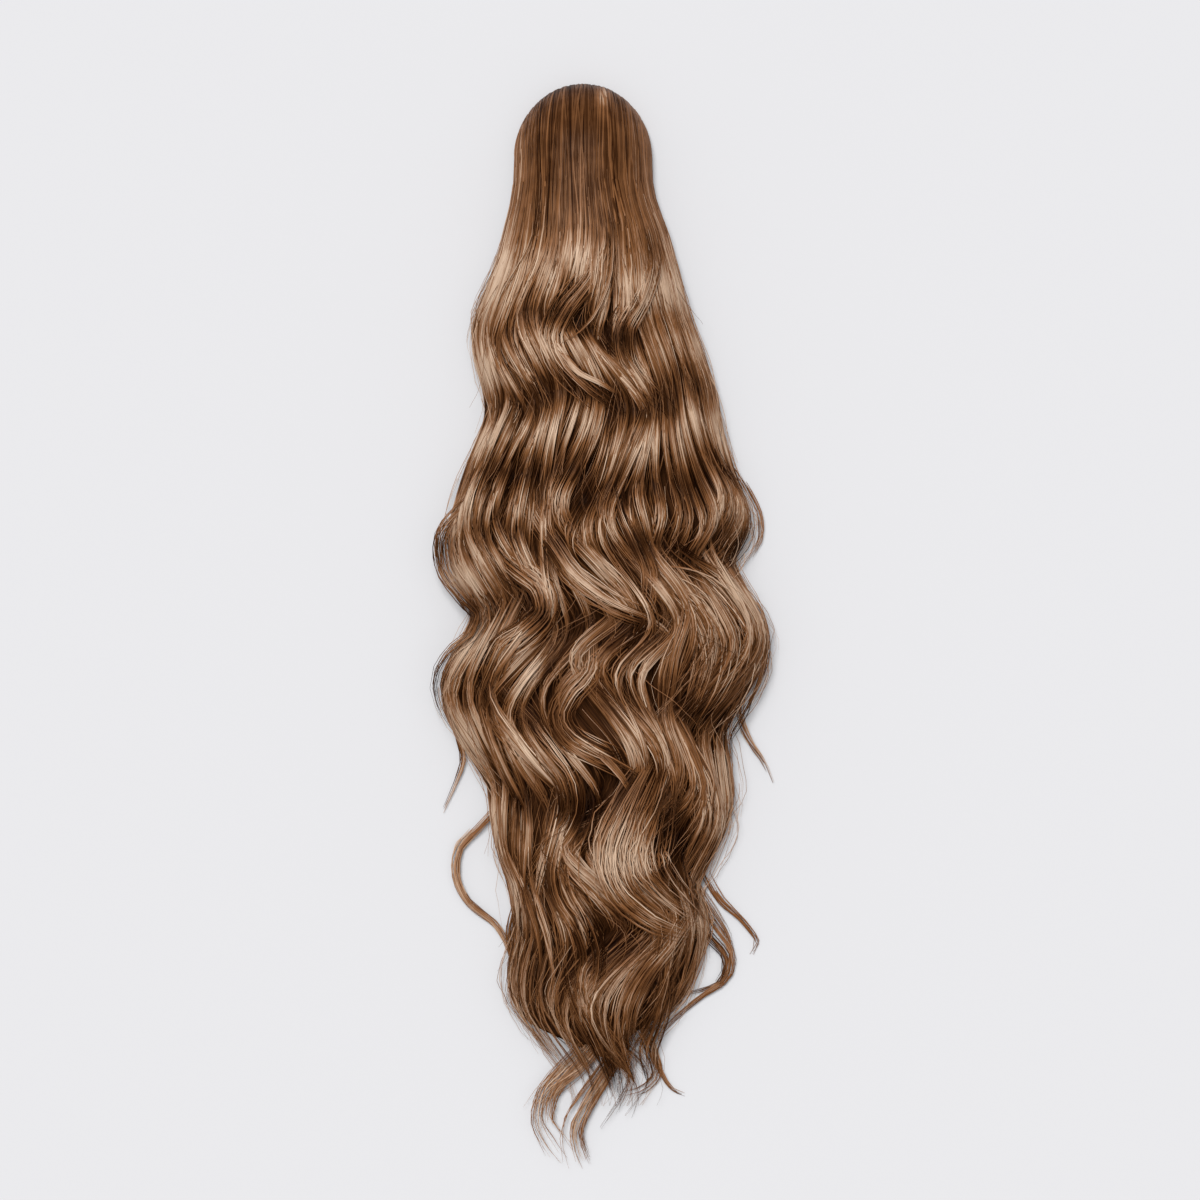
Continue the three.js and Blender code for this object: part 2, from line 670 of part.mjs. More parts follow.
const table = aboveTable();
const capRoom = dome(GAP, 1);
const underSolid = wholeOf(underLayer(0).intersect(table).subtract(capRoom));
const overSolid = wholeOf(overLayer().intersect(table).subtract(capRoom).subtract(underLayer(GAP)));

function meshOf(name, geometry, colour, roughness) {
  const material = new THREE.MeshStandardMaterial({ color: colour, roughness, metalness: 0 });
  const mesh = new THREE.Mesh(geometry, material);
  mesh.name = name;
  return mesh;
}

const hairpiece = new THREE.Group();
hairpiece.name = "hairpiece";
hairpiece.add(
  meshOf("base_cap", capGeometry(), 0x3a2a20, 0.9),
  meshOf("comb", combGeometry(), 0x2b1d15, 0.4),
  meshOf("under_hair", geometryOf(underSolid), 0x5e3f29, 0.5),
  meshOf("over_hair", geometryOf(overSolid), 0x7a5538, 0.45),
);
export default hairpiece;
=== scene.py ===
# The looks of the wavy ponytail hairpiece, in Blender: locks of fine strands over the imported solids,
# a net cap with a plastic comb under them, and a pale table with soft light from above.
# Sizes are in millimetres and become metres where a mesh is made.
import math

import bpy
import numpy as np
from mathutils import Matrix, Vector


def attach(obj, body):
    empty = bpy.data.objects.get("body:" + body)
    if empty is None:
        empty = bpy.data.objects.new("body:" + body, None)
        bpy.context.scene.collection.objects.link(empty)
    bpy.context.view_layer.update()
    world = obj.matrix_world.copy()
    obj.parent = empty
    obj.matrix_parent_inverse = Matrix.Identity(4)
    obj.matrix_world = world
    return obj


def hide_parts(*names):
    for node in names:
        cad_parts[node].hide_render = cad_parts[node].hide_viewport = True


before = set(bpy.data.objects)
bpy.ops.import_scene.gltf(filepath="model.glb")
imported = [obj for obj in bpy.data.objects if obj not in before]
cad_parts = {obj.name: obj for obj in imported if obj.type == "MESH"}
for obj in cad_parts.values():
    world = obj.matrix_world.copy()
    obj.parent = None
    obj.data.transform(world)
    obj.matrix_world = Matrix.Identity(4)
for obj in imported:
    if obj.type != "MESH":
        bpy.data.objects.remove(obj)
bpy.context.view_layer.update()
rng = np.random.default_rng(20260)

# The sizes of the part
LENGTH = 660.0
HALF_WIDTH = 104.5
HAIR_HEIGHT = 43.0
CAP_WIDTH = 74.0
CAP_LENGTH = 84.0
CAP_HEIGHT = 34.0
HEM_WIDTH = 4.0
CROWN_HAIR = 5.3
WAVE_SWING = 15.0
WAVE_LIFT = 4.4
INNER_SWING = 0.7
UPPER_SWING = 0.35
CAP_MIDDLE = HEM_WIDTH / 2 - CAP_LENGTH / 2
CROWN_SIDE = CAP_WIDTH / 2 + CROWN_HAIR
CROWN_REACH = CAP_LENGTH / 2 + CROWN_HAIR
CROWN_TOP = CAP_HEIGHT + CROWN_HAIR
FRONT = CAP_MIDDLE + CROWN_REACH

# Where the crown ends, where the hair that hangs behind the cap starts and how far the sheets of
# dense hair reach, as shares of LENGTH
CROWN_END = CROWN_REACH / LENGTH
CAP_BACK = 0.14
MID_START = 0.105
OVER_SHEET_END = 0.92
UNDER_SHEET_END = 0.91
LAST_PLACE = 0.965
LEFT_CUT = 0.065
RIGHT_CUT = 0.08
CUT_CURVE = 2.2
TIP_REACH = 0.14
TIP_THINNING = 0.75
TAIL_DROOP = 0.45

# How the strands lie on the crown: how far they fan, leave a straight line, share a place and lean
CROWN_FAN = 0.2
CROWN_JITTER = 0.045
CROWN_OVERLAP = 1.1
CROWN_LEAN = 0.05
BOLD_SHARE = 0.08

# Stretches over which something grows from none to all: start and reach, as shares of LENGTH
STRETCHES = {
    "waves": (0.1, 0.08),
    "lock_free": (0.18, 0.4),
    "lock_height": (0.12, 0.2),
    "lock_tone": (0.08, 0.25),
    "straight_down": (CROWN_END, 0.08),
    "strand_free": (0.12, 0.3),
    "gathered": (0.07, 0.26),
    "contrast": (0.05, 0.15),
    "upper": (0.0, 0.2),
    "upper_third": (0.0, 0.3),
    "crown_shade": (0.03, 0.17),
    "wide_swing": (0.38, 0.1),
    "calm_tail": (0.8, 0.12),
    "tail_droop": (0.84, 0.12),
    "deep_sheet": (0.2, 0.2),
    "stray_waves": (0.1, 0.1),
    "stray_tilt": (0.12, 0.1),
    "stray_away": (0.3, 0.15),
}

# The lanes, from -1 at the left edge to 1 at the right one, over which the middle's waves become
# those of a side: start and reach
LEFT_BLEND = (0.12, 0.36)
RIGHT_BLEND = (0.2, 0.34)

# Fineness, and the sizes of strands in millimetres
PATH_STEPS = 240
LONG_STEPS = 500
STRAND_STEP = 10.5
UNDER_STEP = 14.0
FRONT_STEPS = 7
STRAY_STEPS = 18
STRAND_WIDTH = 0.62
CLUMPS = 5
ROUNDNESS = 0.4
LOCK_ROUNDNESS = 0.55
TABLE_GAP = 0.06

# Lengths in millimetres that set how slowly locks and strands wander
LOCK_RUN = 500.0
STRAND_RUN = 560.0
STRAY_RUN = 120.0

# How much lighter the hair is painted on the crest of a wave and darker in its trough, as painted
# highlight and shade, how much lighter at its sides, as painted light, how much darker at the edge of
# a lock, in its depth and in a hollow, as painted shade, and how much strands, clumps and locks differ
WAVE_LIGHT_AND_SHADE = 0.36
LOCK_EDGE_SHADE = 0.1
SIDE_LIGHT = 0.13
DEPTH_SHADE = 0.3
HOLLOW_SHADE = 0.34
STRAND_TONE = 0.085
CLUMP_TONE = 0.06
LOCK_TONE = 0.07
CROWN_SHADE = 0.265
# GLINT is a painted highlight: a pale spot on the crown, its middle and sizes in millimetres, and
# GLINT_TONE how much lighter it is painted
GLINT = (12.0, -4.0)
GLINT_SIZE = (4.0, 7.0)
GLINT_TONE = 0.46
HOLLOW_DEPTH = 6.0
MOST_LEAN = 0.85
MOST_ANGLE = 1.5

# The hair without its waves: along is a share of LENGTH, left and right of HALF_WIDTH, height of
# HAIR_HEIGHT.
SECTION_COLUMNS = ("along", "left", "right", "height")
SECTIONS = [
    (0.0, -0.40, 0.39, 0.9),
    (0.07, -0.42, 0.41, 0.94),
    (0.144, -0.47, 0.51, 1.0),
    (0.217, -0.58, 0.65, 0.97),
    (0.291, -0.61, 0.76, 0.93),
    (0.365, -0.70, 0.86, 0.92),
    (0.438, -0.72, 0.92, 0.92),
    (0.512, -0.74, 0.97, 0.92),
    (0.586, -0.72, 0.92, 0.88),
    (0.659, -0.60, 0.80, 0.8),
    (0.696, -0.50, 0.76, 0.75),
    (0.733, -0.42, 0.74, 0.7),
    (0.77, -0.43, 0.72, 0.64),
    (0.807, -0.46, 0.64, 0.58),
    (0.843, -0.385, 0.57, 0.52),
    (0.88, -0.235, 0.45, 0.44),
    (0.917, -0.1, 0.32, 0.34),
    (0.954, -0.04, 0.16, 0.24),
    (1.0, -0.04, 0.04, 0.14),
]

# The waves of the left, middle and right of the hair: along is a share of LENGTH, swing a share of
# WAVE_SWING to the right and lift a share of WAVE_LIFT.
WAVE_COLUMNS = ("along", "swing", "lift")
WAVES = {
    "left": [
        (0.121, 0.0, 0.0), (0.185, -0.16, 0.9), (0.231, -0.48, -0.3), (0.262, -0.12, 1.0),
        (0.297, 0.4, -1.0), (0.332, 0.2, 1.0), (0.369, -0.12, -1.0), (0.4, -0.4, 0.9),
        (0.423, -0.52, -0.5), (0.454, -0.08, 0.9), (0.484, 0.56, -0.8), (0.526, -0.08, 0.9),
        (0.564, -0.68, -0.5), (0.609, -0.08, 0.9), (0.65, 0.52, -0.9), (0.685, 0.08, 0.8),
        (0.719, -0.32, -0.5), (0.751, 0.0, 0.5), (0.788, 0.32, -0.5), (0.853, -0.32, 0.4),
        (0.917, 0.24, -0.2), (1.0, 0.0, 0.0),
    ],
    "middle": [
        (0.134, 0.0, 0.0), (0.188, -0.24, 1.0), (0.233, -0.56, -1.0), (0.256, -0.08, 1.0),
        (0.291, 0.56, -1.0), (0.325, 0.32, 1.0), (0.363, -0.16, -1.0), (0.394, -0.56, 0.8),
        (0.424, -0.08, -0.7), (0.457, 0.64, 0.9), (0.486, 0.96, -0.8), (0.53, -0.24, 0.7),
        (0.567, 0.24, -0.6), (0.604, 0.96, 1.0), (0.632, 1.2, -0.4), (0.659, 0.72, -0.9),
        (0.698, -0.88, 0.3), (0.738, -0.08, 1.0), (0.779, 1.04, -1.0), (0.811, 0.4, -0.4),
        (0.843, -0.32, 0.7), (0.88, 0.1, -0.2), (0.917, 1.3, -0.4), (1.0, 0.0, 0.0),
    ],
    "right": [
        (0.157, 0.0, 0.0), (0.199, -0.12, 1.0), (0.219, -0.12, -0.3), (0.245, 0.0, 0.6),
        (0.286, 0.2, -1.0), (0.328, 0.12, 1.0), (0.372, 0.32, -0.9), (0.408, 0.6, 0.8),
        (0.441, -0.32, -0.9), (0.475, 0.16, 0.9), (0.521, 0.8, 0.2), (0.563, 0.08, -0.6),
        (0.587, -0.56, -0.8), (0.627, 0.08, 0.6), (0.667, 0.72, 0.3), (0.701, 0.16, -0.8),
        (0.733, -0.48, -0.2), (0.77, 0.1, 0.7), (0.807, 0.3, -0.3), (0.843, 0.08, -0.6),
        (0.876, -0.48, 0.2), (0.922, 0.4, 0.0), (1.0, 0.0, 0.0),
    ],
}

# Slow changes over the whole hair that neighbouring locks share: how far their waves are shifted
# along the hair, how strong they are, how many degrees they leave their lanes and how much lighter
# they are. A row is one smooth wave: size, then across and along, which are its turns from the
# middle of the hair to its edge and down its length, and start, where in its turn it starts.
DRIFTS = {
    "shift": [(0.013, 0.7, 1.3, 0.15), (0.008, 1.9, -2.4, 0.6)],
    "strength": [(0.22, 1.1, 1.9, 0.4), (0.14, 2.3, -1.2, 0.1)],
    "stray": [(4.0, 0.7, 2.1, 0.8), (2.5, 1.7, -3.3, 0.35)],
    "shade": [(0.05, 1.5, 0.8, 0.3), (0.04, 3.4, -1.7, 0.55)],
}

# The hollows between the locks, where the strands sink and are painted darker as painted shade.
# Columns: across, a share of HALF_WIDTH, along, a share of LENGTH, wide and long, half sizes in
# millimetres, and deep, from 0 to 1.
HOLLOWS = [
    (-0.145, 0.17, 3.5, 14.0, 0.7),
    (0.17, 0.187, 3.5, 11.0, 0.6),
    (0.0, 0.2155, 4.0, 12.0, 0.6),
    (0.19, 0.211, 4.0, 12.0, 0.5),
    (-0.215, 0.39, 6.0, 10.0, 0.8),
    (0.314, 0.426, 9.0, 10.0, 0.8),
    (0.89, 0.446, 5.0, 8.0, 0.8),
    (-0.192, 0.538, 5.0, 16.0, 1.0),
    (0.622, 0.575, 14.0, 7.0, 0.9),
    (0.0, 0.664, 6.0, 18.0, 1.0),
    (0.54, 0.688, 7.0, 16.0, 1.0),
    (0.256, 0.79, 22.0, 6.0, 0.7),
    (0.087, 0.803, 8.0, 10.0, 0.5),
    (0.384, 0.868, 7.0, 10.0, 0.7),
    (0.145, 0.9, 9.0, 7.0, 0.8),
]

# The locks that run the length of the hair, a row for each layer. Columns: layer, level, the height
# as a share of the hair's, reach, the degrees from the top of the arch to the outermost lock,
# locks, strands in each lock, stray, how many degrees a lock leaves its lane, spread, the width of
# a lock as a share of its lane, deep, the layer's thickness in millimetres, and tone, which is lower
# for the deeper layers as painted shade.
LAYERS = [
    ("over", 1.0, 80, 46, 31, 2.4, 1.3, 3.4, 0.56),
    ("mid", 0.9, 68, 24, 10, 5.0, 1.6, 3.4, 0.4),
    ("low", 0.5, 66, 14, 9, 4.0, 1.5, 4.0, 0.28),
]

# The locks that cross over the others: half_width, half_depth, strands, loose, ends, tone and band.
# loose is how far the strands wander, ends the width left at the ends and band how strongly the
# painted highlight on the waves' crests and the painted shade in their troughs show, and PLAIN_LOCK
# holds the usual ones. Then come rows down the middle of the lock, with across a share of HALF_WIDTH,
# along a share of LENGTH and level a share of the hair's height there.
PLAIN_LOCK = (0.26, 0.5, 0.46, 0.9)
CROSSING_LOCKS = {
    "first_wave_left": (9.0, 2.2, 40, 0.2, 0.5, 0.46, 0.9, [
        (-0.25, 0.1, 0.97), (-0.24, 0.145, 0.99), (-0.34, 0.178, 1.03), (-0.43, 0.205, 1.05),
        (-0.47, 0.235, 1.04), (-0.4, 0.26, 1.04), (-0.26, 0.283, 1.0), (-0.2, 0.31, 0.94),
    ]),
    "first_wave_middle": (9.0, 2.2, 44, 0.2, 0.5, 0.46, 0.9, [
        (0.1, 0.115, 0.97), (0.12, 0.155, 0.99), (0.03, 0.185, 1.04), (-0.11, 0.213, 1.06),
        (-0.17, 0.235, 1.05), (-0.11, 0.262, 1.05), (0.04, 0.286, 1.02), (0.18, 0.303, 0.97),
        (0.24, 0.33, 0.92),
    ]),
    "first_wave_right": (8.0, 2.2, 36, 0.2, 0.5, 0.46, 0.9, [
        (0.34, 0.13, 0.97), (0.37, 0.17, 1.0), (0.31, 0.203, 1.04), (0.22, 0.23, 1.05),
        (0.24, 0.26, 1.05), (0.36, 0.285, 1.02), (0.5, 0.308, 0.98), (0.56, 0.335, 0.92),
    ]),
    "light_strand": (1.7, 0.8, 14, 0.2, 0.5, 0.74, 0.2, [
        (0.174, 0.13, 1.02), (0.18, 0.16, 1.06), (0.165, 0.185, 1.1), (0.12, 0.205, 1.12),
        (0.06, 0.222, 1.12), (-0.03, 0.236, 1.12), (-0.13, 0.245, 1.08),
    ]),
    "light_turn": (1.7, 0.8, 14, 0.2, 0.5, 0.7, 0.2, [
        (-0.134, 0.238, 1.06), (-0.099, 0.256, 1.1), (-0.017, 0.27, 1.12), (0.099, 0.279, 1.1),
        (0.203, 0.289, 1.06),
    ]),
    "middle_swirl": (8.0, 3.0, 60, *PLAIN_LOCK, [
        (-0.34, 0.345, 0.85), (-0.33, 0.375, 0.93), (-0.26, 0.402, 1.0), (-0.17, 0.424, 1.05),
        (-0.06, 0.45, 1.09), (0.09, 0.469, 1.1), (0.24, 0.482, 1.06), (0.4, 0.492, 1.0),
        (0.54, 0.515, 0.92), (0.56, 0.55, 0.82),
    ]),
    "middle_arm": (5.0, 2.4, 30, *PLAIN_LOCK, [
        (0.2, 0.36, 0.88), (0.22, 0.39, 0.97), (0.3, 0.42, 1.04), (0.38, 0.45, 1.07),
        (0.37, 0.48, 1.05), (0.28, 0.51, 1.0), (0.2, 0.54, 0.9),
    ]),
    "right_outer": (8.5, 3.0, 56, *PLAIN_LOCK, [
        (0.42, 0.395, 0.85), (0.48, 0.425, 0.95), (0.6, 0.443, 1.0), (0.74, 0.458, 1.02),
        (0.88, 0.475, 0.98), (0.97, 0.497, 0.92), (0.99, 0.52, 0.87), (0.95, 0.548, 0.85),
        (0.87, 0.575, 0.85), (0.8, 0.6, 0.8), (0.82, 0.63, 0.7),
    ]),
    # right_ball's lighter tone is painted light: the ball is painted as lit
    "right_ball": (27.0, 5.0, 150, 0.12, 0.2, 0.6, 0.3, [
        (0.4, 0.45, 0.95), (0.56, 0.463, 1.05), (0.72, 0.484, 1.13), (0.8, 0.51, 1.17),
        (0.8, 0.538, 1.17), (0.74, 0.562, 1.12), (0.67, 0.583, 1.0), (0.62, 0.6, 0.85),
    ]),
    "right_shoulder": (7.0, 2.6, 44, *PLAIN_LOCK, [
        (0.62, 0.27, 0.9), (0.68, 0.31, 0.98), (0.74, 0.345, 1.02), (0.85, 0.375, 1.02),
        (0.93, 0.4, 0.98), (0.88, 0.425, 0.96), (0.76, 0.445, 0.98), (0.66, 0.47, 0.92),
    ]),
    # low_swirl's lighter tone is painted light for the highlights on the swirl
    "low_swirl": (26.0, 5.0, 170, 0.12, 0.3, 0.58, 0.7, [
        (0.46, 0.61, 0.9), (0.38, 0.635, 1.06), (0.27, 0.673, 1.17), (0.21, 0.705, 1.22),
        (0.25, 0.733, 1.24), (0.39, 0.757, 1.2), (0.58, 0.775, 1.12), (0.71, 0.785, 0.95),
    ]),
    "low_turn": (11.0, 3.4, 70, 0.18, 0.5, 0.46, 0.9, [
        (0.64, 0.735, 0.85), (0.58, 0.762, 0.95), (0.48, 0.785, 1.0), (0.35, 0.808, 1.03),
        (0.25, 0.835, 1.03), (0.21, 0.86, 0.98), (0.22, 0.885, 0.9), (0.26, 0.91, 0.8),
    ]),
    "low_end_left": (8.0, 3.0, 42, 0.3, 0.5, 0.44, 0.4, [
        (-0.1, 0.8, 0.9), (-0.05, 0.83, 1.0), (0.04, 0.862, 1.02), (0.13, 0.894, 0.95),
        (0.19, 0.932, 0.7),
    ]),
    "low_end_right": (7.0, 3.0, 36, 0.3, 0.5, 0.44, 0.4, [
        (0.5, 0.8, 0.9), (0.47, 0.83, 1.0), (0.42, 0.862, 1.02), (0.37, 0.89, 0.95),
        (0.4, 0.92, 0.7),
    ]),
    "left_edge": (8.0, 3.0, 44, *PLAIN_LOCK, [
        (-0.36, 0.35, 0.9), (-0.52, 0.375, 1.0), (-0.68, 0.397, 1.03), (-0.78, 0.42, 1.0),
        (-0.76, 0.445, 0.98), (-0.66, 0.468, 1.0), (-0.56, 0.49, 1.03), (-0.6, 0.51, 1.03),
        (-0.74, 0.53, 0.98), (-0.81, 0.55, 0.92), (-0.78, 0.575, 0.9), (-0.67, 0.605, 0.85),
    ]),
    "left_inner": (9.0, 3.2, 56, *PLAIN_LOCK, [
        (-0.42, 0.385, 0.9), (-0.5, 0.405, 0.98), (-0.5, 0.428, 1.03), (-0.38, 0.448, 1.06),
        (-0.25, 0.465, 1.09), (-0.22, 0.485, 1.1), (-0.33, 0.505, 1.1), (-0.47, 0.522, 1.06),
        (-0.52, 0.545, 1.03), (-0.42, 0.57, 1.03), (-0.28, 0.592, 0.98), (-0.2, 0.62, 0.88),
    ]),
    "centre_low": (9.0, 3.2, 56, *PLAIN_LOCK, [
        (0.06, 0.475, 0.88), (0.05, 0.51, 0.97), (0.04, 0.538, 1.04), (-0.08, 0.56, 1.07),
        (-0.14, 0.582, 1.07), (-0.08, 0.6, 1.07), (0.06, 0.614, 1.06), (0.22, 0.626, 1.03),
        (0.36, 0.642, 0.97), (0.42, 0.67, 0.88),
    ]),
    "left_low": (7.5, 3.0, 48, *PLAIN_LOCK, [
        (-0.3, 0.56, 0.85), (-0.3, 0.585, 0.98), (-0.2, 0.612, 1.05), (-0.08, 0.64, 1.07),
        (-0.06, 0.665, 1.05), (-0.13, 0.69, 1.02), (-0.23, 0.718, 0.98), (-0.31, 0.747, 0.92),
        (-0.33, 0.775, 0.88), (-0.27, 0.8, 0.8),
    ]),
    "low_middle": (8.0, 3.0, 46, *PLAIN_LOCK, [
        (-0.02, 0.63, 0.9), (0.04, 0.66, 1.0), (-0.02, 0.69, 1.05), (-0.12, 0.715, 1.06),
        (-0.1, 0.745, 1.06), (0.0, 0.77, 1.04), (0.06, 0.8, 1.02), (0.03, 0.83, 0.98),
        (0.0, 0.86, 0.92), (0.05, 0.89, 0.85),
    ]),
    "low_right": (6.0, 2.6, 36, *PLAIN_LOCK, [
        (0.62, 0.64, 0.9), (0.6, 0.675, 0.98), (0.55, 0.705, 1.0), (0.58, 0.735, 0.98),
        (0.62, 0.765, 0.95), (0.58, 0.795, 0.95), (0.48, 0.825, 0.98), (0.38, 0.855, 0.98),
        (0.32, 0.885, 0.9),
    ]),
}

# The loose locks that lie on the table at the edges and the tips: half_width, strands, flare, which
# is how much wider or narrower the lock ends, and tone. Then come rows down the middle of the lock,
# with across a share of HALF_WIDTH and along a share of LENGTH.
LOOSE_LOCKS = {
    "left_tendril": (3.4, 34, -0.55, 0.54, [
        (-0.4, 0.65), (-0.6, 0.685), (-0.715, 0.705), (-0.733, 0.728), (-0.67, 0.751),
        (-0.5, 0.775), (-0.42, 0.8), (-0.4, 0.83),
    ]),
    "left_point": (4.6, 20, -0.55, 0.5, [
        (-0.77, 0.545), (-0.74, 0.575), (-0.7, 0.6), (-0.68, 0.622), (-0.73, 0.645),
        (-0.808, 0.672),
    ]),
    "right_point": (3.6, 16, -0.55, 0.52, [
        (0.95, 0.55), (0.925, 0.581), (0.983, 0.604), (1.064, 0.624), (1.116, 0.645),
    ]),
    "right_loop_high": (2.2, 10, -0.55, 0.5, [
        (0.84, 0.345), (0.96, 0.375), (1.03, 0.4), (1.03, 0.42), (0.93, 0.445), (0.8, 0.47),
    ]),
    "right_curl": (2.6, 12, -0.55, 0.5, [
        (0.66, 0.71), (0.797, 0.751), (0.942, 0.774), (1.012, 0.793), (0.924, 0.809),
    ]),
    "right_hook": (2.6, 10, -0.55, 0.5, [
        (0.62, 0.73), (0.78, 0.765), (0.86, 0.79), (0.85, 0.81), (0.8, 0.822),
    ]),
    "right_loop": (3.0, 18, -0.55, 0.44, [
        (0.6, 0.735), (0.76, 0.775), (0.86, 0.8), (0.84, 0.822), (0.7, 0.838),
        (0.52, 0.862), (0.36, 0.89),
    ]),
    "dark_curl": (4.2, 18, -0.55, 0.26, [
        (0.58, 0.76), (0.74, 0.787), (0.83, 0.806), (0.8, 0.826), (0.66, 0.836), (0.5, 0.84),
    ]),
    "low_left_edge": (3.4, 36, -0.55, 0.44, [
        (-0.37, 0.745), (-0.42, 0.782), (-0.39, 0.806), (-0.31, 0.832), (-0.2, 0.853),
        (-0.07, 0.874), (0.02, 0.896), (0.12, 0.92),
    ]),
    "tip_left": (4.4, 48, 0.6, 0.56, [
        (0.16, 0.85), (0.03, 0.885), (-0.1, 0.907), (-0.21, 0.93), (-0.24, 0.955), (-0.17, 0.975),
        (-0.1, 0.99),
    ]),
    "tip_fan": (3.6, 26, 0.6, 0.56, [
        (0.2, 0.86), (0.06, 0.89), (-0.06, 0.91), (-0.19, 0.925), (-0.29, 0.948),
    ]),
    "tip_middle": (4.6, 56, 0.6, 0.54, [
        (0.3, 0.85), (0.22, 0.885), (0.1, 0.915), (0.0, 0.94), (-0.06, 0.962), (-0.045, 0.982),
        (-0.005, 0.999),
    ]),
    "tip_right": (3.4, 22, -0.55, 0.46, [
        (0.33, 0.855), (0.4, 0.885), (0.46, 0.908), (0.53, 0.925), (0.6, 0.93),
    ]),
    "tip_hook": (3.4, 14, -0.55, 0.42, [
        (0.33, 0.86), (0.4, 0.89), (0.43, 0.912), (0.36, 0.925), (0.22, 0.932),
    ]),
}


def smooth(t):
    """From 0 to 1 with a soft start and end."""
    u = np.clip(t, 0.0, 1.0)
    return u * u * (3 - 2 * u)


def grown(name, along):
    """How far a stretch of the hair has grown at places along it, from 0 to 1."""
    start, reach = STRETCHES[name]
    return smooth((along - start) / reach)


def read(rows, column, along):
    """A column of a table at places along the hair, on a smooth curve through its rows."""
    table = np.array(rows, float)
    knots, values = table[:, 0], table[:, column]
    slope = np.gradient(values, knots)
    along = np.clip(along, knots[0], knots[-1])
    i = np.clip(np.searchsorted(knots, along) - 1, 0, len(knots) - 2)
    span = knots[i + 1] - knots[i]
    t = (along - knots[i]) / span
    return (
        values[i] * (1 + 2 * t) * (1 - t) ** 2
        + slope[i] * span * t * (1 - t) ** 2
        + values[i + 1] * t * t * (3 - 2 * t)
        + slope[i + 1] * span * t * t * (t - 1)
    )


def through(points, count):
    """Evenly spaced points on a smooth curve through the given ones."""
    points = np.array(points, float)
    steps = np.sqrt((np.diff(points, axis=0) ** 2).sum(1))
    knots = np.concatenate([[0], np.cumsum(steps)])
    fine = np.linspace(0, knots[-1], 12 * len(points))
    rows = [np.column_stack([knots, points[:, k]]) for k in range(points.shape[1])]
    curve = np.column_stack([read(r, 1, fine) for r in rows])
    steps = np.sqrt((np.diff(curve, axis=0) ** 2).sum(1))
    length = np.concatenate([[0], np.cumsum(steps)])
    at = np.linspace(0, length[-1], count)
    return np.column_stack([np.interp(at, length, curve[:, k]) for k in range(curve.shape[1])])


def smoothed(values, width):
    """The values along a line, each one mixed with its neighbours."""
    kernel = np.hanning(width + 2)[1:-1]
    padded = np.pad(values, width // 2, "edge")
    return np.convolve(padded, kernel / kernel.sum(), "valid")[: len(values)]


def section(name, along):
    """A column of SECTIONS at places along the hair, in millimetres."""
    whole = HAIR_HEIGHT if name == "height" else HALF_WIDTH
    return read(SECTIONS, SECTION_COLUMNS.index(name), along) * whole


def arch_at(lane, along):
    """The hair's surface over a lane: x, y and z of the top."""
    y = FRONT - along * LENGTH
    left, right = section("left", along), section("right", along)
    height = section("height", along) * (1 - TAIL_DROOP * grown("tail_droop", along))
    in_cap = (y - CAP_MIDDLE) / CROWN_REACH
    crown = np.where(in_cap > 0, 1.0, smooth(1 + in_cap))
    left = left + (-CROWN_SIDE - left) * crown
    right = right + (CROWN_SIDE - right) * crown
    height = height + (CROWN_TOP - height) * crown
    lane = np.clip(lane, -1, 1)
    x = (left + right) / 2 + (right - left) / 2 * lane
    front = np.clip(in_cap, 0, 1) ** 2
    z = height * np.sqrt(np.clip(1 - lane**2 - front, 0, 1))
    return x, y, z


def lane_wave(lane, along, name):
    """The swing or lift of the waves at a lane: the three sides' waves blend into each other."""
    column = WAVE_COLUMNS.index(name)
    to_left = smooth((-lane - LEFT_BLEND[0]) / LEFT_BLEND[1])
    to_right = smooth((lane - RIGHT_BLEND[0]) / RIGHT_BLEND[1])
    middle = 1 - to_left - to_right
    return (
        to_left * read(WAVES["left"], column, along)
        + middle * read(WAVES["middle"], column, along)
        + to_right * read(WAVES["right"], column, along)
    )


def swing_at(lane, along):
    """How far the hair swings sideways: more in the middle of the hair than at its edges."""
    inner = (1 - np.clip(lane, -1, 1) ** 2) * (1 - grown("calm_tail", along))
    gain = UPPER_SWING + (INNER_SWING - UPPER_SWING) * grown("wide_swing", along)
    return lane_wave(lane, along, "swing") * WAVE_SWING * (1 + gain * inner)


def last_place(lane):
    """Where the hair of a lane ends: the sides are cut shorter than the middle."""
    return LAST_PLACE - np.where(np.asarray(lane) < 0, LEFT_CUT, RIGHT_CUT) * np.abs(lane) ** CUT_CURVE


def widest_lane(along, cut):
    """The lane furthest out that still has hair at a place, for the sheets of dense hair."""
    return np.clip((0.93 - along) / cut, 0.0, 1.0) ** 0.45


def wobble(count, steps, length, scale):
    """Slow random curves, one for each strand."""
    t = np.linspace(0, 1, steps)[None, :]
    total = np.zeros((count, steps))
    for share, waves in ((0.6, 0.7), (0.3, 1.7), (0.18, 3.6)):
        turns = waves * length / scale * rng.uniform(0.7, 1.3, (count, 1))
        total += share * np.sin(2 * np.pi * (turns * t + rng.random((count, 1))))
    return total


def hollow_at(points):
    """How deep in a hollow between the locks each point lies, from 0 to 1: it sinks the hair there and
    sets the strands' painted shade.
    """
    total = np.zeros(points.shape[:-1])
    for across, along, wide, long, deep in HOLLOWS:
        x = (points[..., 0] - across * HALF_WIDTH) / wide
        y = (points[..., 1] - FRONT + along * LENGTH) / long
        total += deep * np.exp(-(x**2) - y**2)
    return np.clip(total, 0, 1)


def drift(kind, lane, along):
    """One of the slow changes that neighbouring locks share, at a lane and places along the hair."""
    return sum(
        size * np.sin(2 * np.pi * (across * lane + down * along + start))
        for size, across, down, start in DRIFTS[kind]
    )


